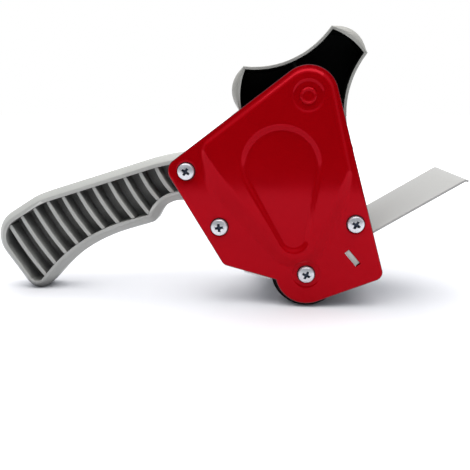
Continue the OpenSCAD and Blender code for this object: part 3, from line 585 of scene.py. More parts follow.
def plate_rise(pts):
    """Height of the stamped areas above the flat sheet."""
    over_crest = signed_distance(even(outline(EMBOSS_CREST), EMBOSS_STEP), pts)
    over_foot = signed_distance(even(outline(EMBOSS_FOOT), EMBOSS_STEP), pts)
    t = np.where(over_crest <= 0, 0.0, over_crest / np.maximum(over_crest - over_foot, 1e-6))
    t = np.where(over_foot >= 0, 1.0, t)
    rise = EMBOSS_RISE * (1 - smooth(t))
    drop = signed_distance(even(outline(TEARDROP), TEARDROP_STEP), pts)
    rise -= sunk(drop, TEARDROP_DIP, TEARDROP_SLOPE)
    rise -= sunk(from_point(pts, HUB) - DISH_R, DISH_DIP, DISH_SLOPE)
    for at in SCREWS:
        rise -= sunk(from_point(pts, at) - SEAT_R, SEAT_DIP, SEAT_SLOPE)
    return rise - sunk(from_point(pts, ROLLER) - SPOT_R, SPOT_DIP, SPOT_SLOPE)


def plate_sheet(edge, rim, slot):
    """Points and faces of the flat sheet inside its rim and outside its slot."""
    (x0, z0), (x1, z1) = edge.min(axis=0), edge.max(axis=0)
    columns, rows = np.arange(x0, x1, GRID_STEP), np.arange(z0, z1, GRID_STEP)
    grid = np.array([(x, z) for x in columns for z in rows])
    grid = grid[signed_distance(rim, grid) < -GRID_OFF_RIM]
    grid = grid[np.abs(signed_distance(slot, grid)) > GRID_OFF_SLOT]
    rounds = [(at, r) for at in SCREWS for r in SEAT_RINGS]
    rounds += [(HUB, r) for r in DISH_RINGS] + [(ROLLER, r) for r in SPOT_RINGS]
    for at, r in rounds:
        grid = grid[np.abs(from_point(grid, at) - r) > GRID_OFF_RING]
    rings = [np.array(at) + r * unit(a) for at, r in rounds for a in np.arange(0, 360, RING_ANGLE)]
    coords = np.concatenate((rim, slot, grid, rings))
    n, m = len(rim), len(slot)
    borders = [(i, (i + 1) % n) for i in range(n)] + [(n + i, n + (i + 1) % m) for i in range(m)]
    out = delaunay_2d_cdt([Vector(p) for p in coords], borders, [], 1, 1e-6)
    verts = np.array([tuple(v) for v in out[0]])
    faces = [list(f) for f in out[2]]
    middles = np.array([verts[f].mean(axis=0) for f in faces])
    keep = inside(rim, middles) & ~inside(slot, middles)
    return verts, [f for f, k in zip(faces, keep) if k], middles[keep]


def side_plate():
    shape = Shape()
    paint, shade, edge_paint = 0, 1, 2

    def sheet_ring(pts, y, rise):
        return shape.ring([(x, y - h, z) for (x, z), h in zip(pts, rise)])

    edge = plate_outline()
    rim = shrink(edge, RIM_INSET)
    slot = plate_slot()
    verts, faces, middles = plate_sheet(edge, rim, slot)
    rise = plate_rise(verts)
    front = sheet_ring(verts, -PLATE_T, rise)
    back = sheet_ring(verts, 0.0, rise)
    # Faces round each screw head take the dark ring colour: painted shade.
    by_screw = np.min([from_point(middles, at) for at in SCREWS], axis=0) < SHADE_R
    for f, near in zip(faces, by_screw):
        shape.face([front[i] for i in f], shade if near else paint)
        shape.face([back[i] for i in reversed(f)], paint)
    rim_rise = plate_rise(rim)
    shape.skin([sheet_ring(shrink(edge, inset), y, rim_rise) for inset, y in RIM_LEVELS], edge_paint)
    slot_rise = plate_rise(slot)
    shape.skin([sheet_ring(slot, y, slot_rise) for y in (-PLATE_T, 0.0)])
    mats = [MAT["red_paint"], MAT["painted_screw_shade"], MAT["paint_edge"]]
    piece("side_plate_stamped", shape, "frame", "red_paint", mats, nodes=["side_plate"], sharp=40.0)


# Handle: rounded grip and base, hollowed from the plate's side, with bowed ribs

TIP = np.array((-155.4, 8.6))
TIP_R = 8.6
PALM = np.array((-73.0, -53.5))
PALM_R = 93.84
STOP_R = 5.0
STOP_GAP = 1.0
STOP_ANGLE = 98.65
STOP = PALM + (PALM_R + STOP_R + STOP_GAP) * unit(STOP_ANGLE)
FINGER_R = 14.2
FINGER_GAP = 0.4
FINGER_ANGLE = -17.8
FINGER = STOP + (STOP_R + FINGER_R + FINGER_GAP) * unit(FINGER_ANGLE)
GRIP = [
    (*TIP, TIP_R), (*PALM, -PALM_R), (*STOP, STOP_R), (*FINGER, -FINGER_R), (-50.0, 58.0, 4.0),
    (-58.8, 76.1, 5.0), (-55.1, -28.9, 110.0), (-135.2, 19.8, 39.5), (-159.5, 30.7, 17.4),
]
BASE = [
    (-38.0, 32.0, 5.0), (-38.0, 58.0, 5.0), (-54.0, 76.7, 5.0), (*UPPER_SCREW, 7.5), (*LOWER_SCREW, 7.5),
]
TIP_WALL_LESS = 0.6
POCKET = [(*TIP, TIP_R + TIP_WALL_LESS)] + GRIP[1:]
GRIP_EDGE = 3.4
GRIP_WALL = 1.9
POCKET_INSET = GRIP_EDGE + GRIP_WALL
POCKET_FLOOR = 24.9
POCKET_END = -69.2
MOUTH_OVER = 1.0
RIB_T = 2.2
RIB_PLACES = np.arange(-60, 220, 0.5)
RIB_PITCH = 9.14
RIB_FIRST = -123.35
RIB_COUNT = 11
RIB_ANGLE = 122.0
RIB_BOW = 0.9
RIB_STEPS = 16
RIB_SET_BACK = 1.0
RIB_IN_WALL = 0.6
RIB_PAST_END = 0.3
IN_FLOOR = 0.2
POST_R = 6.0
POST_BORE_R = 2.05
EASE_STEPS = 10
EASE_POWER = 1.8


def eased_levels(y0, edge):
    """Insets and depths down a rim that is between a chamfer and a round."""
    levels = []
    for k in range(EASE_STEPS + 1):
        a = math.pi / 2 * k / EASE_STEPS
        levels.append((edge * (1 - math.sin(a) ** EASE_POWER), y0 + edge * (1 - math.cos(a) ** EASE_POWER)))
    return levels


def prism(corners, y0, y1, edge=0.0, inset=0.0, clip_x=None):
    """A solid between two depths, with both rims eased where an edge is given."""
    shape = Shape()
    levels = eased_levels(y0, edge) if edge else [(inset, y0)]
    levels += [(i, y0 + y1 - y) for i, y in reversed(levels)]
    rings = []
    for i, y in levels:
        pts = outline(corners, i)
        if clip_x is not None:
            pts = clipped(pts, clip_x)
        rings.append(shape.ring([(x, y, z) for x, z in pts]))
    shape.solid(rings)
    return shape


def boolean(data, steps):
    """The mesh after joining or cutting with others, one by one."""
    base = linked("work", data)
    others = []
    for kind, cut in steps:
        other = linked("cutter", cut)
        others.append(other)
        mod = base.modifiers.new("cut", "BOOLEAN")
        mod.operation = kind
        mod.solver = "EXACT"
        mod.object = other
    bpy.context.view_layer.update()
    result = bpy.data.meshes.new_from_object(base.evaluated_get(bpy.context.evaluated_depsgraph_get()))
    for other in others + [base]:
        bpy.data.objects.remove(other)
    return result


def handle_shell():
    mats = [MAT["grey_plastic"]]
    mouth = GRIP_Y - MOUTH_OVER
    grip = prism(GRIP, GRIP_Y, GRIP_END, GRIP_EDGE)
    base = prism(BASE, GRIP_Y, GRIP_END, GRIP_EDGE)
    grip_pocket = prism(POCKET, mouth, POCKET_FLOOR, inset=POCKET_INSET, clip_x=POCKET_END)
    base_pocket = prism(BASE, mouth, POCKET_FLOOR, inset=POCKET_INSET)
    steps = [
        ("UNION", base.mesh("base", mats)),
        ("DIFFERENCE", grip_pocket.mesh("pocket", mats)),
        ("DIFFERENCE", base_pocket.mesh("pocket", mats)),
    ]
    data = boolean(grip.mesh("grip", mats), steps)
    data.name = "handle_shell"
    put("handle_shell", data, "frame", nodes=["handle"], bevel_mm=0.3, sharp=35.0)


def handle_ribs():
    ribs = Shape()
    limit = outline(POCKET, POCKET_INSET - RIB_IN_WALL)
    along = unit(RIB_ANGLE)
    across = unit(RIB_ANGLE - 90)
    half = across * RIB_T / 2
    y0, y1 = GRIP_Y + RIB_SET_BACK, POCKET_FLOOR + IN_FLOOR
    for k in range(RIB_COUNT):
        middle = RIB_FIRST + k * RIB_PITCH
        runs = np.array([middle * across + s * along for s in RIB_PLACES])
        ok = inside(limit, runs) & (runs[:, 0] < POCKET_END + RIB_PAST_END)
        s0, s1 = RIB_PLACES[ok].min(), RIB_PLACES[ok].max()
        rings = []
        for t in np.linspace(0, 1, RIB_STEPS + 1):
            bow = -RIB_BOW * 4 * t * (1 - t)
            c = (middle + bow) * across + (s0 + (s1 - s0) * t) * along
            a, b = c - half, c + half
            rings.append(ribs.ring([(a[0], y0, a[1]), (b[0], y0, b[1]), (b[0], y1, b[1]), (a[0], y1, a[1])]))
        ribs.solid(rings)
    piece("handle_ribs", ribs, "frame", "grey_plastic", bevel_mm=0.45)


def handle_posts():
    posts = Shape()
    end = POCKET_FLOOR + IN_FLOOR
    for at in (UPPER_SCREW, LOWER_SCREW):
        posts.add(lathe(at, [(POST_BORE_R, 0.0), (POST_R, 0.0), (POST_R, end), (0.0, end)]))
    piece("handle_posts", posts, "frame", "grey_plastic", bevel_mm=0.4)


# Core hub: three lobes with swollen ends

HUB_Y = 2.9
HUB_LEN = 46.9
HUB_RIM = 35.5
HUB_WALL = 1.7
LOBE_ANGLE = 53.8
SCALLOP_R = 45.9
WAIST_R = 19.9
SCALLOP_OFF = SCALLOP_R + WAIST_R
WEB_DEPTH = 21.0
HUB_WEB_T = 2.5
WEB_END = WEB_DEPTH + HUB_WEB_T
TUBE_R = 8.0
TUBE_END = 29.9
TUBE_EASE = 0.4
BORE_R = 5.06
HUB_BULGE = 3.4
BULGE_RUN = 6.0
LOBE_STEPS = 24
SCALLOP_STEPS = 36
HUB_LIP = 0.2

# Start radius and end depths of the hub's ribs, either side of the web
HUB_RIB_NEAR = (TUBE_R - 0.3, 1.0, WEB_DEPTH + 0.3)
HUB_RIB_FAR = (14.0, WEB_DEPTH + 2.2, HUB_LEN - 4.0)
HUB_RIB_HALF = 0.75
HUB_RIB_OFF_WAIST = 0.8

# Depths of the hub's rings with their extra wall: the outer face, and the inner faces either side of the web
HUB_PLAIN = (0.8, 2, 3.5, 5, 6.5, 8, 10, 14, 20, 27, 33, 36.9, 39, 41, 43, 45, 46.1)
HUB_OUTER = [(0.0, 0.3), (0.25, 0.08), *((d, 0) for d in HUB_PLAIN), (HUB_LEN - 0.25, 0.08), (HUB_LEN, 0.3)]
HUB_NEAR = [(0.0, -HUB_LIP), (HUB_LIP, 0), (3, 0), (7, 0), (14, 0), (WEB_DEPTH, 0)]
HUB_FAR = [(WEB_END, 0), (30, 0), (38, 0), (42, 0), (45, 0), (HUB_LEN - HUB_LIP, 0), (HUB_LEN, -HUB_LIP)]


def scallop(psi, wall):
    """Radius of a hollow's face at an angle from the middle of the hollow."""
    a = math.radians(psi)
    r = SCALLOP_R + wall
    root = r * r - (SCALLOP_OFF * math.sin(a)) ** 2
    return SCALLOP_OFF * math.cos(a) - math.sqrt(root) if root > 0 else math.inf


def corner_angle(rim, wall):
    """Angle from a lobe's middle to its corner, found by halving."""
    lo, hi = 1.0, 60.0
    for _ in range(60):
        mid = (lo + hi) / 2
        if scallop(60 - mid, wall) > rim:
            lo = mid
        else:
            hi = mid
    return lo


def hub_ring(depth, wall):
    rim = HUB_RIM - wall
    corner = corner_angle(rim, wall)
    gap = 60 - corner
    near = min(1.0, depth / BULGE_RUN)
    far = min(1.0, (HUB_LEN - depth) / BULGE_RUN)
    bulge = HUB_BULGE * (1 - (1 - near) ** 2) * (1 - (1 - far) ** 2)
    points = []
    for lobe in range(3):
        middle = LOBE_ANGLE + 120 * lobe
        for i in range(LOBE_STEPS):
            t = -1 + 2 * i / LOBE_STEPS
            points.append((middle + corner * t, rim + bulge * (1 - t * t)))
        for i in range(SCALLOP_STEPS):
            psi = -gap + 2 * gap * i / SCALLOP_STEPS
            points.append((middle + 60 + psi, scallop(abs(psi), wall)))
    return [at_angle(HUB, r, a, HUB_Y + depth) for a, r in points]


def hub_ribs(shape, grey, inside_shade):
    """Three ribs from each hollow to the tube, either side of the web."""
    end = WAIST_R - HUB_RIB_OFF_WAIST
    for k in range(3):
        a = LOBE_ANGLE + 60 + 120 * k
        side = unit(a + 90) * HUB_RIB_HALF
        # Ribs on the plate's side of the web take the near black colour, painted shade.
        for (start, d0, d1), mark in ((HUB_RIB_NEAR, inside_shade), (HUB_RIB_FAR, grey)):
            p, q = np.array(HUB) + unit(a) * start, np.array(HUB) + unit(a) * end
            corners = [p - side, q - side, q + side, p + side]
            shape.solid([shape.ring([(x, HUB_Y + d, z) for x, z in corners]) for d in (d0, d1)], mark)


def core_hub():
    shape = Shape()
    # Faces inside the hub on the plate's side are near black: painted shade.
    grey, inside_shade = 0, 1
    outer = [shape.ring(hub_ring(d, wall)) for d, wall in HUB_OUTER]
    shape.skin(outer, grey)
    near = [shape.ring(hub_ring(d, HUB_WALL + wall)) for d, wall in HUB_NEAR]
    shape.bridge(near[0], outer[0], grey)
    shape.skin(near, inside_shade)
    web = [shape.points[i] for i in near[-1]]
    angles = [math.degrees(math.atan2(z - HUB[1], x - HUB[0])) for x, _, z in web]
    centre = [
        (TUBE_R, HUB_Y + WEB_DEPTH, inside_shade), (TUBE_R, HUB_Y + TUBE_EASE, inside_shade),
        (TUBE_R - TUBE_EASE, HUB_Y, inside_shade), (BORE_R, HUB_Y, inside_shade), (BORE_R, TUBE_END, inside_shade),
        (TUBE_R - TUBE_EASE, TUBE_END, grey), (TUBE_R, TUBE_END - TUBE_EASE, grey),
        (TUBE_R, HUB_Y + WEB_END, grey),
    ]
    last = near[-1]
    for r, y, mark in centre:
        this = shape.ring([at_angle(HUB, r, a, y) for a in angles])
        shape.bridge(last, this, mark)
        last = this
    far = [shape.ring(hub_ring(d, HUB_WALL + wall)) for d, wall in HUB_FAR]
    shape.skin([last] + far + [outer[-1]], grey)
    hub_ribs(shape, grey, inside_shade)
    mats = [MAT["hub_plastic"], MAT["hub_inside_shade"]]
    piece("core_hub_lobed", shape, "core_hub", "hub_plastic", mats, nodes=["core_hub"], sharp=30.0)


# Hub axle with its painted rivet

RIVET_FACE = -2.2
RIVET_R = 4.3
NECK_R = 3.3
FLANGE_R = 9.0
FLANGE_Y0, FLANGE_Y1 = -1.4, 2.0
AXLE_R = 5.0
THREAD_R = 4.0
THREAD_ROOT_R = 3.4
THREAD_Y = 33.0
THREAD_PITCH = 1.5
THREAD_TURN = ((THREAD_R, 0.3), (THREAD_R, 0.6), (THREAD_ROOT_R, 1.0), (THREAD_ROOT_R, 1.2))
AXLE_END = 50.7
AXLE_CHAMFER = 0.5
THREAD_END = 49.8


def hub_axle():
    steel, paint = 0, 1
    head = [(0.0, -0.65), (1.4, -0.62), (2.3, -0.5), (2.8, -0.7), (3.3, -1.0), (3.8, -0.8), (RIVET_R, -0.2),
            (RIVET_R, 0.0), (NECK_R, 0.0)]
    profile = [(r, RIVET_FACE + y) for r, y in head]
    marks = [paint] * (len(profile) - 1)
    profile += [(NECK_R, FLANGE_Y0), (FLANGE_R, FLANGE_Y0), (FLANGE_R, FLANGE_Y1), (AXLE_R, FLANGE_Y1),
                (AXLE_R, THREAD_Y)]
    y = THREAD_Y
    while y < THREAD_END:
        profile += [(r, y + d) for r, d in THREAD_TURN]
        y += THREAD_PITCH
    profile += [(THREAD_R, AXLE_END - AXLE_CHAMFER), (THREAD_ROOT_R, AXLE_END), (0.0, AXLE_END)]
    marks += [steel] * (len(profile) - 1 - len(marks))
    mats = [MAT["steel"], MAT["red_paint"]]
    shape = lathe(HUB, profile, marks=marks)
    piece("hub_axle_riveted", shape, "frame", "steel", mats, nodes=["hub_axle"], sharp=40.0)


# Tension knob: levels are (radius, depth, depth of the flutes), from the hub's side and from the outer face

KNOB_Y0, KNOB_Y1 = 44.5, 56.7
KNOB_SOCKET_R = 6.55
KNOB_ROOF = 2.5
KNOB_NEAR = [
    (KNOB_SOCKET_R, 0, 0), (11.6, 0, 0), (12.6, 0.25, 0), (13.0, 0.8, 0), (13.0, 1.9, 0), (13.0, 2.6, 1.0),
]
KNOB_FAR = [
    (13.0, 2.0, 1.25), (12.85, 1.2, 1.2), (12.4, 0.5, 1.0), (11.6, 0.1, 0.6), (10.4, 0, 0.2), (9.4, 0, 0),
    (9.1, 0.2, 0), (8.9, 0.7, 0), (6.0, 0.8, 0), (3.0, 0.8, 0),
]
FLUTES = 8
FLUTE_POWER = 1.5
KNOB_STEPS = 160


def tension_knob():
    shape = Shape()

    def ring(r, y, depth):
        pts = []
        for k in range(KNOB_STEPS):
            angle = 360 * k / KNOB_STEPS
            flute = max(0.0, math.cos(math.radians(FLUTES * angle))) ** FLUTE_POWER
            pts.append(at_angle(HUB, r - depth * flute, angle, y))
        return shape.ring(pts)

    rings = [ring(r, KNOB_Y0 + y, depth) for r, y, depth in KNOB_NEAR]
    rings += [ring(r, KNOB_Y1 - y, depth) for r, y, depth in KNOB_FAR]
    shape.skin(rings)
    shape.face(rings[-1])
    roof = ring(KNOB_SOCKET_R, KNOB_Y1 - KNOB_ROOF, 0)
    shape.bridge(rings[0], roof)
    shape.face(roof)
    piece("tension_knob_fluted", shape, "tension_knob", "grey_plastic", nodes=["tension_knob"], sharp=38.0)


# Brake spring: a coil between the frame and the sliding seat

BRAKE_Y = 33.0
BRAKE_LEN = 10.0
BRAKE_WIRE = 1.2
BRAKE_R = 7.0
BRAKE_TURNS = 4.5
BRAKE_PLAY = 0.1
BRAKE_STEPS = 126


def brake_spring():
    first = BRAKE_Y + BRAKE_WIRE / 2 + BRAKE_PLAY
    room = BRAKE_LEN - BRAKE_WIRE - 2 * BRAKE_PLAY
    shares = [k / BRAKE_STEPS for k in range(BRAKE_STEPS + 1)]
    path = [at_angle(HUB, BRAKE_R, 360 * BRAKE_TURNS * t, first + room * t) for t in shares]
    start, end = (HUB[0], BRAKE_Y, HUB[1]), (HUB[0], BRAKE_Y + BRAKE_LEN, HUB[1])
    free_piece("brake_spring_coil", tube(path, BRAKE_WIRE / 2), "spring_steel",
               start, end, "brake_spring")


# Flap spring: a coil between a leg on the blade carrier and a leg on the flap

TWIST_WIRE = 0.8
TWIST_R = 2.6
TWIST_TURNS = 5
TWIST_PITCH = 1.4
TWIST_TURN_STEPS = 24
FLAP_LEG = 11.0
FLAP_LEG_LEAN = 8.0
FLAP_LEG_STEPS = 8
CARRIER_LEG = 5.0
CARRIER_LEG_ANGLE = 190.0
CARRIER_LEG_STEPS = 6


def flap_spring():
    flap_angle = FLAP_ANGLE - FLAP_LEG_LEAN
    last_angle = 360 * TWIST_TURNS + flap_angle + 90
    sweep = last_angle - (CARRIER_LEG_ANGLE - 90)
    length = TWIST_PITCH * sweep / 360
    y0 = BRIDGE_W / 2 - length / 2
    y1 = BRIDGE_W / 2 + length / 2
    steps = int(sweep / 360 * TWIST_TURN_STEPS)
    shares = [k / steps for k in range(steps + 1)]
    coil = [at_angle(FLAP_PIN, TWIST_R, last_angle - sweep * t, y0 + length * t) for t in shares]
    (ax, az), (bx, bz) = unit(flap_angle), unit(CARRIER_LEG_ANGLE)
    flap_leg = np.array((ax, 0, az)) * FLAP_LEG
    carrier_leg = np.array((bx, 0, bz)) * CARRIER_LEG
    first = [coil[0] + flap_leg * (1 - i / FLAP_LEG_STEPS) for i in range(FLAP_LEG_STEPS)]
    last = [coil[-1] + carrier_leg * (i + 1) / CARRIER_LEG_STEPS for i in range(CARRIER_LEG_STEPS)]
    start, end = (FLAP_PIN[0], y1, FLAP_PIN[1]), (FLAP_PIN[0], y0, FLAP_PIN[1])
    free_piece("flap_spring_coil", tube(first + coil + last, TWIST_WIRE / 2), "spring_steel",
               start, end, "flap_spring")


# Screws: pan heads with a tapered cross recess; the shares are of the head's radius or height

HEAD_SIDES = 120
HEAD_RINGS = 34
CROWN_RINGS = 0.85
CROWN_R = 0.88
CROWN_Z = 0.7
RIM_Z = 0.3
ARM_HALF, ARM_SLOPE = 0.115, 0.05
ARM_REACH, REACH_SLOPE = 0.40, 0.14
CORE_R, CORE_SLOPE = 0.2, 0.08
RECESS_DEPTH = 0.6
RECESS_FROM = 0.35
TURN_PITCH = 0.7
TURN_CREST, TURN_ROOT = 0.25, 0.5
TURN_ROOT_SHARE = 0.86
PLAIN_END = 1.4
POINT_LEN = 0.5
POINT_SHARES = (0.8, 0.4)
PLATE_SCREW = dict(r=4.3, h=2.5, shank_r=2.0, length=14.0)
BLADE_SCREW = dict(r=2.6, h=1.5, shank_r=1.4, length=3.4)
GUIDE_SCREW = dict(r=2.6, h=1.5, shank_r=1.4, length=9.8)
SMALL_TURN = 45.0
PLATE_TURNS = {UPPER_SCREW: 58.0, LOWER_SCREW: 8.0, ROLLER: 64.0, BRIDGE_SCREW: 60.0}
CARRIER_HALF_T = 1.5
BLADE_T = 0.8
BLADE_SCREW_DOWN = 4.0
BLADE_SCREW_OFF = 13.0
GUIDE_FACE_X = -31.8
GUIDE_SCREW_Z = 37.0
GUIDE_SCREW_STEP = 11.0


def cross_depth(x, y, r):
    """Share of the cross recess's full depth at a place on a head of radius r."""
    lo, hi = sorted((abs(x), abs(y)))
    arm = 1 - smooth((lo - r * ARM_HALF) / (r * ARM_SLOPE))
    reach = 1 - smooth((hi - r * ARM_REACH) / (r * REACH_SLOPE))
    core = 1 - smooth((math.hypot(x, y) - r * CORE_R) / (r * CORE_SLOPE))
    return max(arm * reach, core)


def head_level(q, r, h):
    """Radius and height of the head at a share of the way from its middle to its rim."""
    if q > CROWN_RINGS:
        b = (q - CROWN_RINGS) / (1 - CROWN_RINGS) * math.pi / 2
        return r * (CROWN_R + (1 - CROWN_R) * math.sin(b)), h * (RIM_Z + (CROWN_Z - RIM_Z) * math.cos(b))
    p = q / CROWN_RINGS
    return r * CROWN_R * p, h * (CROWN_Z + (1 - CROWN_Z) * (1 - p ** 2))


def thread_levels(shank_r, length):
    """Radii and depths down a threaded shank with a blunt point."""
    levels = [(shank_r, 0.0)]
    depth = 0.0
    while depth < length - PLAIN_END:
        levels += [(shank_r, depth + TURN_CREST), (shank_r * TURN_ROOT_SHARE, depth + TURN_ROOT)]
        depth += TURN_PITCH
    ends = (length - POINT_LEN, length)
    return levels + [(shank_r * share, end) for share, end in zip(POINT_SHARES, ends)]


def screw(origin, out, side, turn, r, h, shank_r, length):
    """A screw: out points away from its seat, side lies in the seat."""
    origin, out, side = (np.array(v, float) for v in (origin, out, side))
    up = np.cross(out, side)
    # Faces deep in the cross take the dark navy colour: painted shade.
    metal, recess = 0, 1
    plain, turned = spokes(HEAD_SIDES), spokes(HEAD_SIDES, turn)
    shape = Shape()

    def ring(radius, heights):
        flat = [origin + (side * c + up * s) * radius for c, s in turned]
        return shape.ring([p + out * z for p, z in zip(flat, heights)])

    def flat_ring(radius, height):
        return ring(radius, [height] * HEAD_SIDES)

    last = shape.ring([origin + out * h * (1 - RECESS_DEPTH)])
    last_depths = [1.0]
    for j in range(1, HEAD_RINGS + 1):
        radius, height = head_level(j / HEAD_RINGS, r, h)
        depths = [cross_depth(radius * c, radius * s, r) for c, s in plain]
        this = ring(radius, [height - RECESS_DEPTH * h * d for d in depths])
        for k in range(HEAD_SIDES):
            m = (k + 1) % HEAD_SIDES
            if j == 1:
                shape.face((last[0], this[k], this[m]), recess)
                continue
            deep = (last_depths[k] + last_depths[m] + depths[k] + depths[m]) / 4
            shape.face((last[k], last[m], this[m], this[k]), recess if deep > RECESS_FROM else metal)
        last, last_depths = this, depths
    shank = [flat_ring(radius, -depth) for radius, depth in thread_levels(shank_r, length)]
    shape.skin([last, flat_ring(r, 0.0)] + shank, metal)
    shape.face(shank[-1], metal)
    return shape


def screw_piece(name, screws, node):
    shape = Shape()
    for one in screws:
        shape.add(one)
    mats = [MAT["zinc"], MAT["recess"]]
    piece(name, shape, "frame", "zinc", mats, nodes=[node], sharp=50.0)


def plate_screws():
    for name, places, node in (("handle_screws_pan", (UPPER_SCREW, LOWER_SCREW), "handle_screws"),
                               ("roller_screw_pan", (ROLLER,), "roller_screw"),
                               ("bridge_screw_pan", (BRIDGE_SCREW,), "bridge_screw")):
        seat = SPOT_DIP - PLATE_T if places == (ROLLER,) else -PLATE_T
        screws = [screw((at[0], seat, at[1]), (0, -1, 0), (1, 0, 0), PLATE_TURNS[at], **PLATE_SCREW)
                  for at in places]
        screw_piece(name, screws, node)


def small_screws():
    along = (0, 1, 0)
    x, z = carrier(BLADE_SCREW_DOWN, CARRIER_HALF_T + BLADE_T)
    out_x, out_z = unit(90 - CARRIER_ANGLE)
    places = [BRIDGE_W / 2 + off for off in (-BLADE_SCREW_OFF, BLADE_SCREW_OFF)]
    screws = [screw((x, y, z), (out_x, 0, out_z), along, SMALL_TURN, **BLADE_SCREW) for y in places]
    screw_piece("blade_screws_pan", screws, "blade_screws")
    middle = (GRIP_Y + GRIP_END) / 2
    heights = [GUIDE_SCREW_Z + GUIDE_SCREW_STEP * k for k in range(2)]
    screws = [screw((GUIDE_FACE_X, middle, z), (1, 0, 0), along, SMALL_TURN, **GUIDE_SCREW) for z in heights]
    screw_piece("guide_screws_pan", screws, "guide_screws")


# Roller with a ground rubber sleeve

SLEEVE_Y0, SLEEVE_Y1 = 1.9, 51.3
SLEEVE_R = 18.5
SLEEVE_BORE_R = 14.53
SLEEVE_EASE = 0.3
SLEEVE_STEPS = 24


def roller():
    near = [(SLEEVE_BORE_R, 0.0), (SLEEVE_R - 0.3, 0.0), (SLEEVE_R - 0.1, 0.1)]
    y0, y1 = SLEEVE_Y0 + SLEEVE_EASE, SLEEVE_Y1 - SLEEVE_EASE
    profile = [(r, SLEEVE_Y0 + y) for r, y in near]
    profile += [(SLEEVE_R, y0 + (y1 - y0) * k / SLEEVE_STEPS) for k in range(SLEEVE_STEPS + 1)]
    profile += [(r, SLEEVE_Y1 - y) for r, y in reversed(near)]
    piece("roller_sleeve_ground", lathe(ROLLER, profile, n=128, loop=True), "roller", "black_rubber",
          nodes=["roller_sleeve"], sharp=40.0)


# Wiper flap with a rolled lip: a strip on two hinge tubes, narrow and with a window next to the pin

FLAP_T = 1.2
FLAP_START = 1.2
FLAP_LEN = 66.2
FLAP_NECK = 11.0
WINDOW_END = 7.0
FLAP_STOPS = [1.5, 3.5, 16.0, 36.0, 48.5, 50.5]
SIDE_CELLS = (0, 4)
WINDOW_CELL = 2
ROLL_R = 1.6
ROLL_RUN = 2.2
ROLL_ANGLES = (20, 40, 60, 80)
HINGE_R = 3.0
HINGE_BORE_R = 1.56
HINGE_EASE = 0.3
HINGE_SPANS = ((3.3, 16.0), (36.0, 48.7))


def flap_path():
    """Middle line of the strip from the pin to the lip: distance along it and height above it."""
    bend = FLAP_LEN - ROLL_RUN
    runs = [FLAP_START, 4.0, WINDOW_END, FLAP_NECK, *np.linspace(16, bend, 12)]
    path = [(f, 0.0) for f in runs]
    for angle in ROLL_ANGLES:
        c, s = unit(angle)
        path.append((bend + ROLL_R * s, -ROLL_R * (1 - c)))
    return np.array(path)


def flap_cells(path):
    """Cells of the strip that hold material, as (step along the path, step across)."""
    cells = []
    for i, (f, _) in enumerate(path[:-1]):
        for j in range(len(FLAP_STOPS) - 1):
            beside_neck = f < FLAP_NECK - 1e-6 and j in SIDE_CELLS
            in_window = f < WINDOW_END - 1e-6 and j == WINDOW_CELL
            if not beside_neck and not in_window:
                cells.append((i, j))
    return cells


def wiper_flap():
    shape = Shape()
    path = flap_path()
    along, up = unit(FLAP_ANGLE), unit(FLAP_ANGLE + 90)
    grid = {}
    for side in (1, -1):
        for i, p in enumerate(path):
            e = path[min(i + 1, len(path) - 1)] - path[max(i - 1, 0)]
            e /= np.linalg.norm(e)
            f, v = p + np.array((-e[1], e[0])) * side * FLAP_T / 2
            x, z = np.array(FLAP_PIN) + along * f + up * v
            for j, corner in enumerate(shape.ring([(x, y, z) for y in FLAP_STOPS])):
                grid[side, i, j] = corner
    cells = flap_cells(path)
    for i, j in cells:
        a, b, c, d = (i, j), (i + 1, j), (i + 1, j + 1), (i, j + 1)
        for side in (1, -1):
            shape.face([grid[side, *corner] for corner in (a, b, c, d)])
        for beside, p, q in (((i - 1, j), a, d), ((i + 1, j), b, c), ((i, j - 1), a, b), ((i, j + 1), d, c)):
            if beside not in cells:
                shape.face([grid[1, *p], grid[1, *q], grid[-1, *q], grid[-1, *p]])
    for y0, y1 in HINGE_SPANS:
        near = [(HINGE_BORE_R, y0), (HINGE_R - HINGE_EASE, y0), (HINGE_R, y0 + HINGE_EASE)]
        far = [(HINGE_R, y1 - HINGE_EASE), (HINGE_R - HINGE_EASE, y1), (HINGE_BORE_R, y1)]
        shape.add(lathe(FLAP_PIN, near + far, n=48, loop=True))
    piece("wiper_flap_rolled", shape, "wiper_flap", "pale_plastic", nodes=["wiper_flap"], bevel_mm=0.25)


# Pieces whose solids are right as they are: better material and softened edges

KEPT = {
    "hub_washer": ("steel", 0.1), "friction_washer": ("felt", 0.2), "pressure_washer": ("steel", 0.15),
    "spring_seat": ("steel", 0.15), "knob_insert": ("brass", 0.15), "roller_axle": ("steel", 0.25),
    "roller_washers": ("steel", 0.1), "roller_core": ("black_plastic", 0.3),
    "roller_clip": ("spring_steel", 0.1), "front_bridge": ("hub_plastic", 0.4),
    "blade": ("blade_steel", 0.08), "flap_pin": ("steel", 0.2), "flap_clip": ("spring_steel", 0.15),
    "tape_guide": ("guide_plastic", 0.25),
}
KEPT_ANGLE = 30.0
KEPT_WELD_M = 1e-6


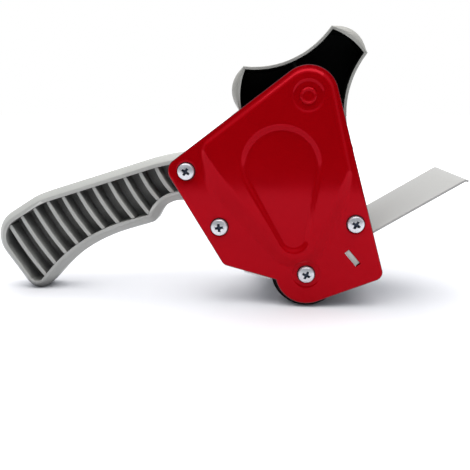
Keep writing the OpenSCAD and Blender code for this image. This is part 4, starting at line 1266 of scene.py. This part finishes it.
def shade_by_angle():
    """A modifier group that shades faces smooth and keeps sharp edges sharp."""
    group = bpy.data.node_groups.new("shade_by_angle", "GeometryNodeTree")
    group.interface.new_socket("Geometry", in_out="INPUT", socket_type="NodeSocketGeometry")
    group.interface.new_socket("Geometry", in_out="OUTPUT", socket_type="NodeSocketGeometry")
    enter = group.nodes.new("NodeGroupInput").outputs[0]
    faces = add_node(group, "GeometryNodeSetShadeSmooth", {"Geometry": enter, "Shade Smooth": True})
    faces.domain = "FACE"
    angle = group.nodes.new("GeometryNodeInputMeshEdgeAngle").outputs["Unsigned Angle"]
    above = add_node(group, "FunctionNodeCompare", {0: angle, 1: math.radians(KEPT_ANGLE)})
    above.operation = "GREATER_THAN"
    sharp = add_node(group, "GeometryNodeSetShadeSmooth", {
        "Geometry": faces.outputs["Geometry"], "Selection": above.outputs[0], "Shade Smooth": False,
    })
    sharp.domain = "EDGE"
    add_node(group, "NodeGroupOutput", {0: sharp.outputs["Geometry"]})
    return group


def kept_nodes():
    group = shade_by_angle()
    for node, (look, width) in KEPT.items():
        obj = frame["nodes"][node]
        if not obj.material_slots:
            obj.data.materials.append(MAT[look])
        for place in obj.material_slots:
            place.material = MAT[look]
        weld = obj.modifiers.new("weld", "WELD")
        weld.merge_threshold = KEPT_WELD_M
        soften(obj, width, angle=KEPT_ANGLE, harden=False)
        mod = obj.modifiers.new("shade", "NODES")
        mod.node_group = group


# Floor, light and camera, in metres

WHITE = (1.0, 1.0, 1.0, 1.0)
FLOOR_FRONT = -0.377
FLOOR_REACH = 4.0
FLOOR_COLOUR = (0.70, 0.695, 0.722)
GLOW_RANGE = (0.16, 0.6)
WALL_HIGH = (0.80, 0.85, 0.90)
WALL_LOW = (0.50, 0.54, 0.58)
FRONT_LOW = (0.05, 0.05, 0.05)
LEVEL_RANGE = (0.55, 0.10)
FRONT_RANGE = (-0.25, -0.75)
LOW_RANGE = (0.75, 0.30)
BEHIND_RANGE = (0.0, 0.35)
LAMP_AT = (0.0, -0.02, 1.1)
LAMP_AIM = (0.0, 0.0, 0.05)
LAMP_SIZE = (1.6, 1.3)
LAMP_WATTS = 23.0
LAMP_COLOUR = (1.0, 0.985, 0.95)
LENS = 35.62
LENS_SHIFT = (-0.05, -0.10)
CLIP_START = 0.01
CAMERA_AT = (0.033973, -0.26115, 0.10668)
CAMERA_DOWN = 10.24
CAMERA_TURN = 2.847


def floor():
    """A matt floor that fades to plain white away from the part."""
    data = bpy.data.meshes.new("floor")
    near, far = FLOOR_FRONT, FLOOR_REACH
    data.from_pydata([(-far, near, 0), (far, near, 0), (far, far, 0), (-far, far, 0)], [], [(0, 1, 2, 3)])
    obj = linked("floor", data)
    mat = bpy.data.materials.new("floor")
    mat.use_nodes = True
    tree = mat.node_tree
    tree.nodes.clear()
    position = tree.nodes.new("ShaderNodeNewGeometry").outputs["Position"]
    reach = add_node(tree, "ShaderNodeVectorMath", {0: position})
    reach.operation = "LENGTH"
    strength = ranged(tree, reach.outputs["Value"], *GLOW_RANGE)
    glow = add_node(tree, "ShaderNodeEmission", {"Color": WHITE, "Strength": strength})
    matt = add_node(tree, "ShaderNodeBsdfDiffuse", {"Color": FLOOR_COLOUR + (1.0,)})
    both = add_node(tree, "ShaderNodeAddShader", {0: glow.outputs[0], 1: matt.outputs[0]})
    add_node(tree, "ShaderNodeOutputMaterial", {"Surface": both.outputs[0]})
    data.materials.append(mat)


def world():
    """A room that lights the part, and plain white where the camera or a mirrored ray looks past it."""
    w = bpy.data.worlds.new("studio")
    bpy.context.scene.world = w
    w.use_nodes = True
    tree = w.node_tree
    tree.nodes.clear()
    path = tree.nodes.new("ShaderNodeLightPath").outputs
    coord = tree.nodes.new("ShaderNodeTexCoord")
    split = add_node(tree, "ShaderNodeSeparateXYZ", {0: coord.outputs["Generated"]})

    def combined(kind, a, b):
        node = add_node(tree, "ShaderNodeMath", {0: a, 1: b})
        node.operation = kind
        return node.outputs[0]

    front = ranged(tree, split.outputs["Y"], *FRONT_RANGE)
    low = ranged(tree, split.outputs["Z"], *LOW_RANGE)
    behind = ranged(tree, split.outputs["Y"], *BEHIND_RANGE)
    level = ranged(tree, split.outputs["Z"], *LEVEL_RANGE)
    walls = mixed(tree, level, WALL_HIGH, WALL_LOW)
    shade = mixed(tree, combined("MULTIPLY", front, low), walls, FRONT_LOW)
    mirrored = combined("MAXIMUM", path["Is Glossy Ray"], path["Is Transmission Ray"])
    seen = combined("MAXIMUM", path["Is Camera Ray"], combined("MULTIPLY", mirrored, behind))
    room = add_node(tree, "ShaderNodeBackground", {"Color": shade})
    white = add_node(tree, "ShaderNodeBackground", {"Color": WHITE, "Strength": 1.0})
    mix = add_node(tree, "ShaderNodeMixShader", {"Fac": seen, 1: room.outputs[0], 2: white.outputs[0]})
    add_node(tree, "ShaderNodeOutputWorld", {"Surface": mix.outputs[0]})


def lamp():
    data = bpy.data.lights.new("top", "AREA")
    data.shape = "RECTANGLE"
    data.size, data.size_y = LAMP_SIZE
    data.energy = LAMP_WATTS
    data.color = LAMP_COLOUR
    obj = linked("top", data)
    obj.location = LAMP_AT
    obj.rotation_euler = (Vector(LAMP_AIM) - Vector(LAMP_AT)).to_track_quat("-Z", "Y").to_euler()


def camera():
    data = bpy.data.cameras.new("camera")
    data.lens = LENS
    data.shift_x, data.shift_y = LENS_SHIFT
    data.clip_start = CLIP_START
    obj = linked("camera", data)
    obj.location = CAMERA_AT
    obj.rotation_euler = (math.radians(90 - CAMERA_DOWN), 0.0, math.radians(CAMERA_TURN))
    bpy.context.scene.camera = obj


# Build

for make in (
    side_plate, handle_shell, handle_ribs, handle_posts, core_hub, hub_axle, tension_knob, brake_spring,
    flap_spring, plate_screws, small_screws, roller, wiper_flap, kept_nodes, floor, world, lamp, camera,
):
    make()
bpy.context.scene.view_settings.view_transform = "Standard"

bpy.context.view_layer.update()
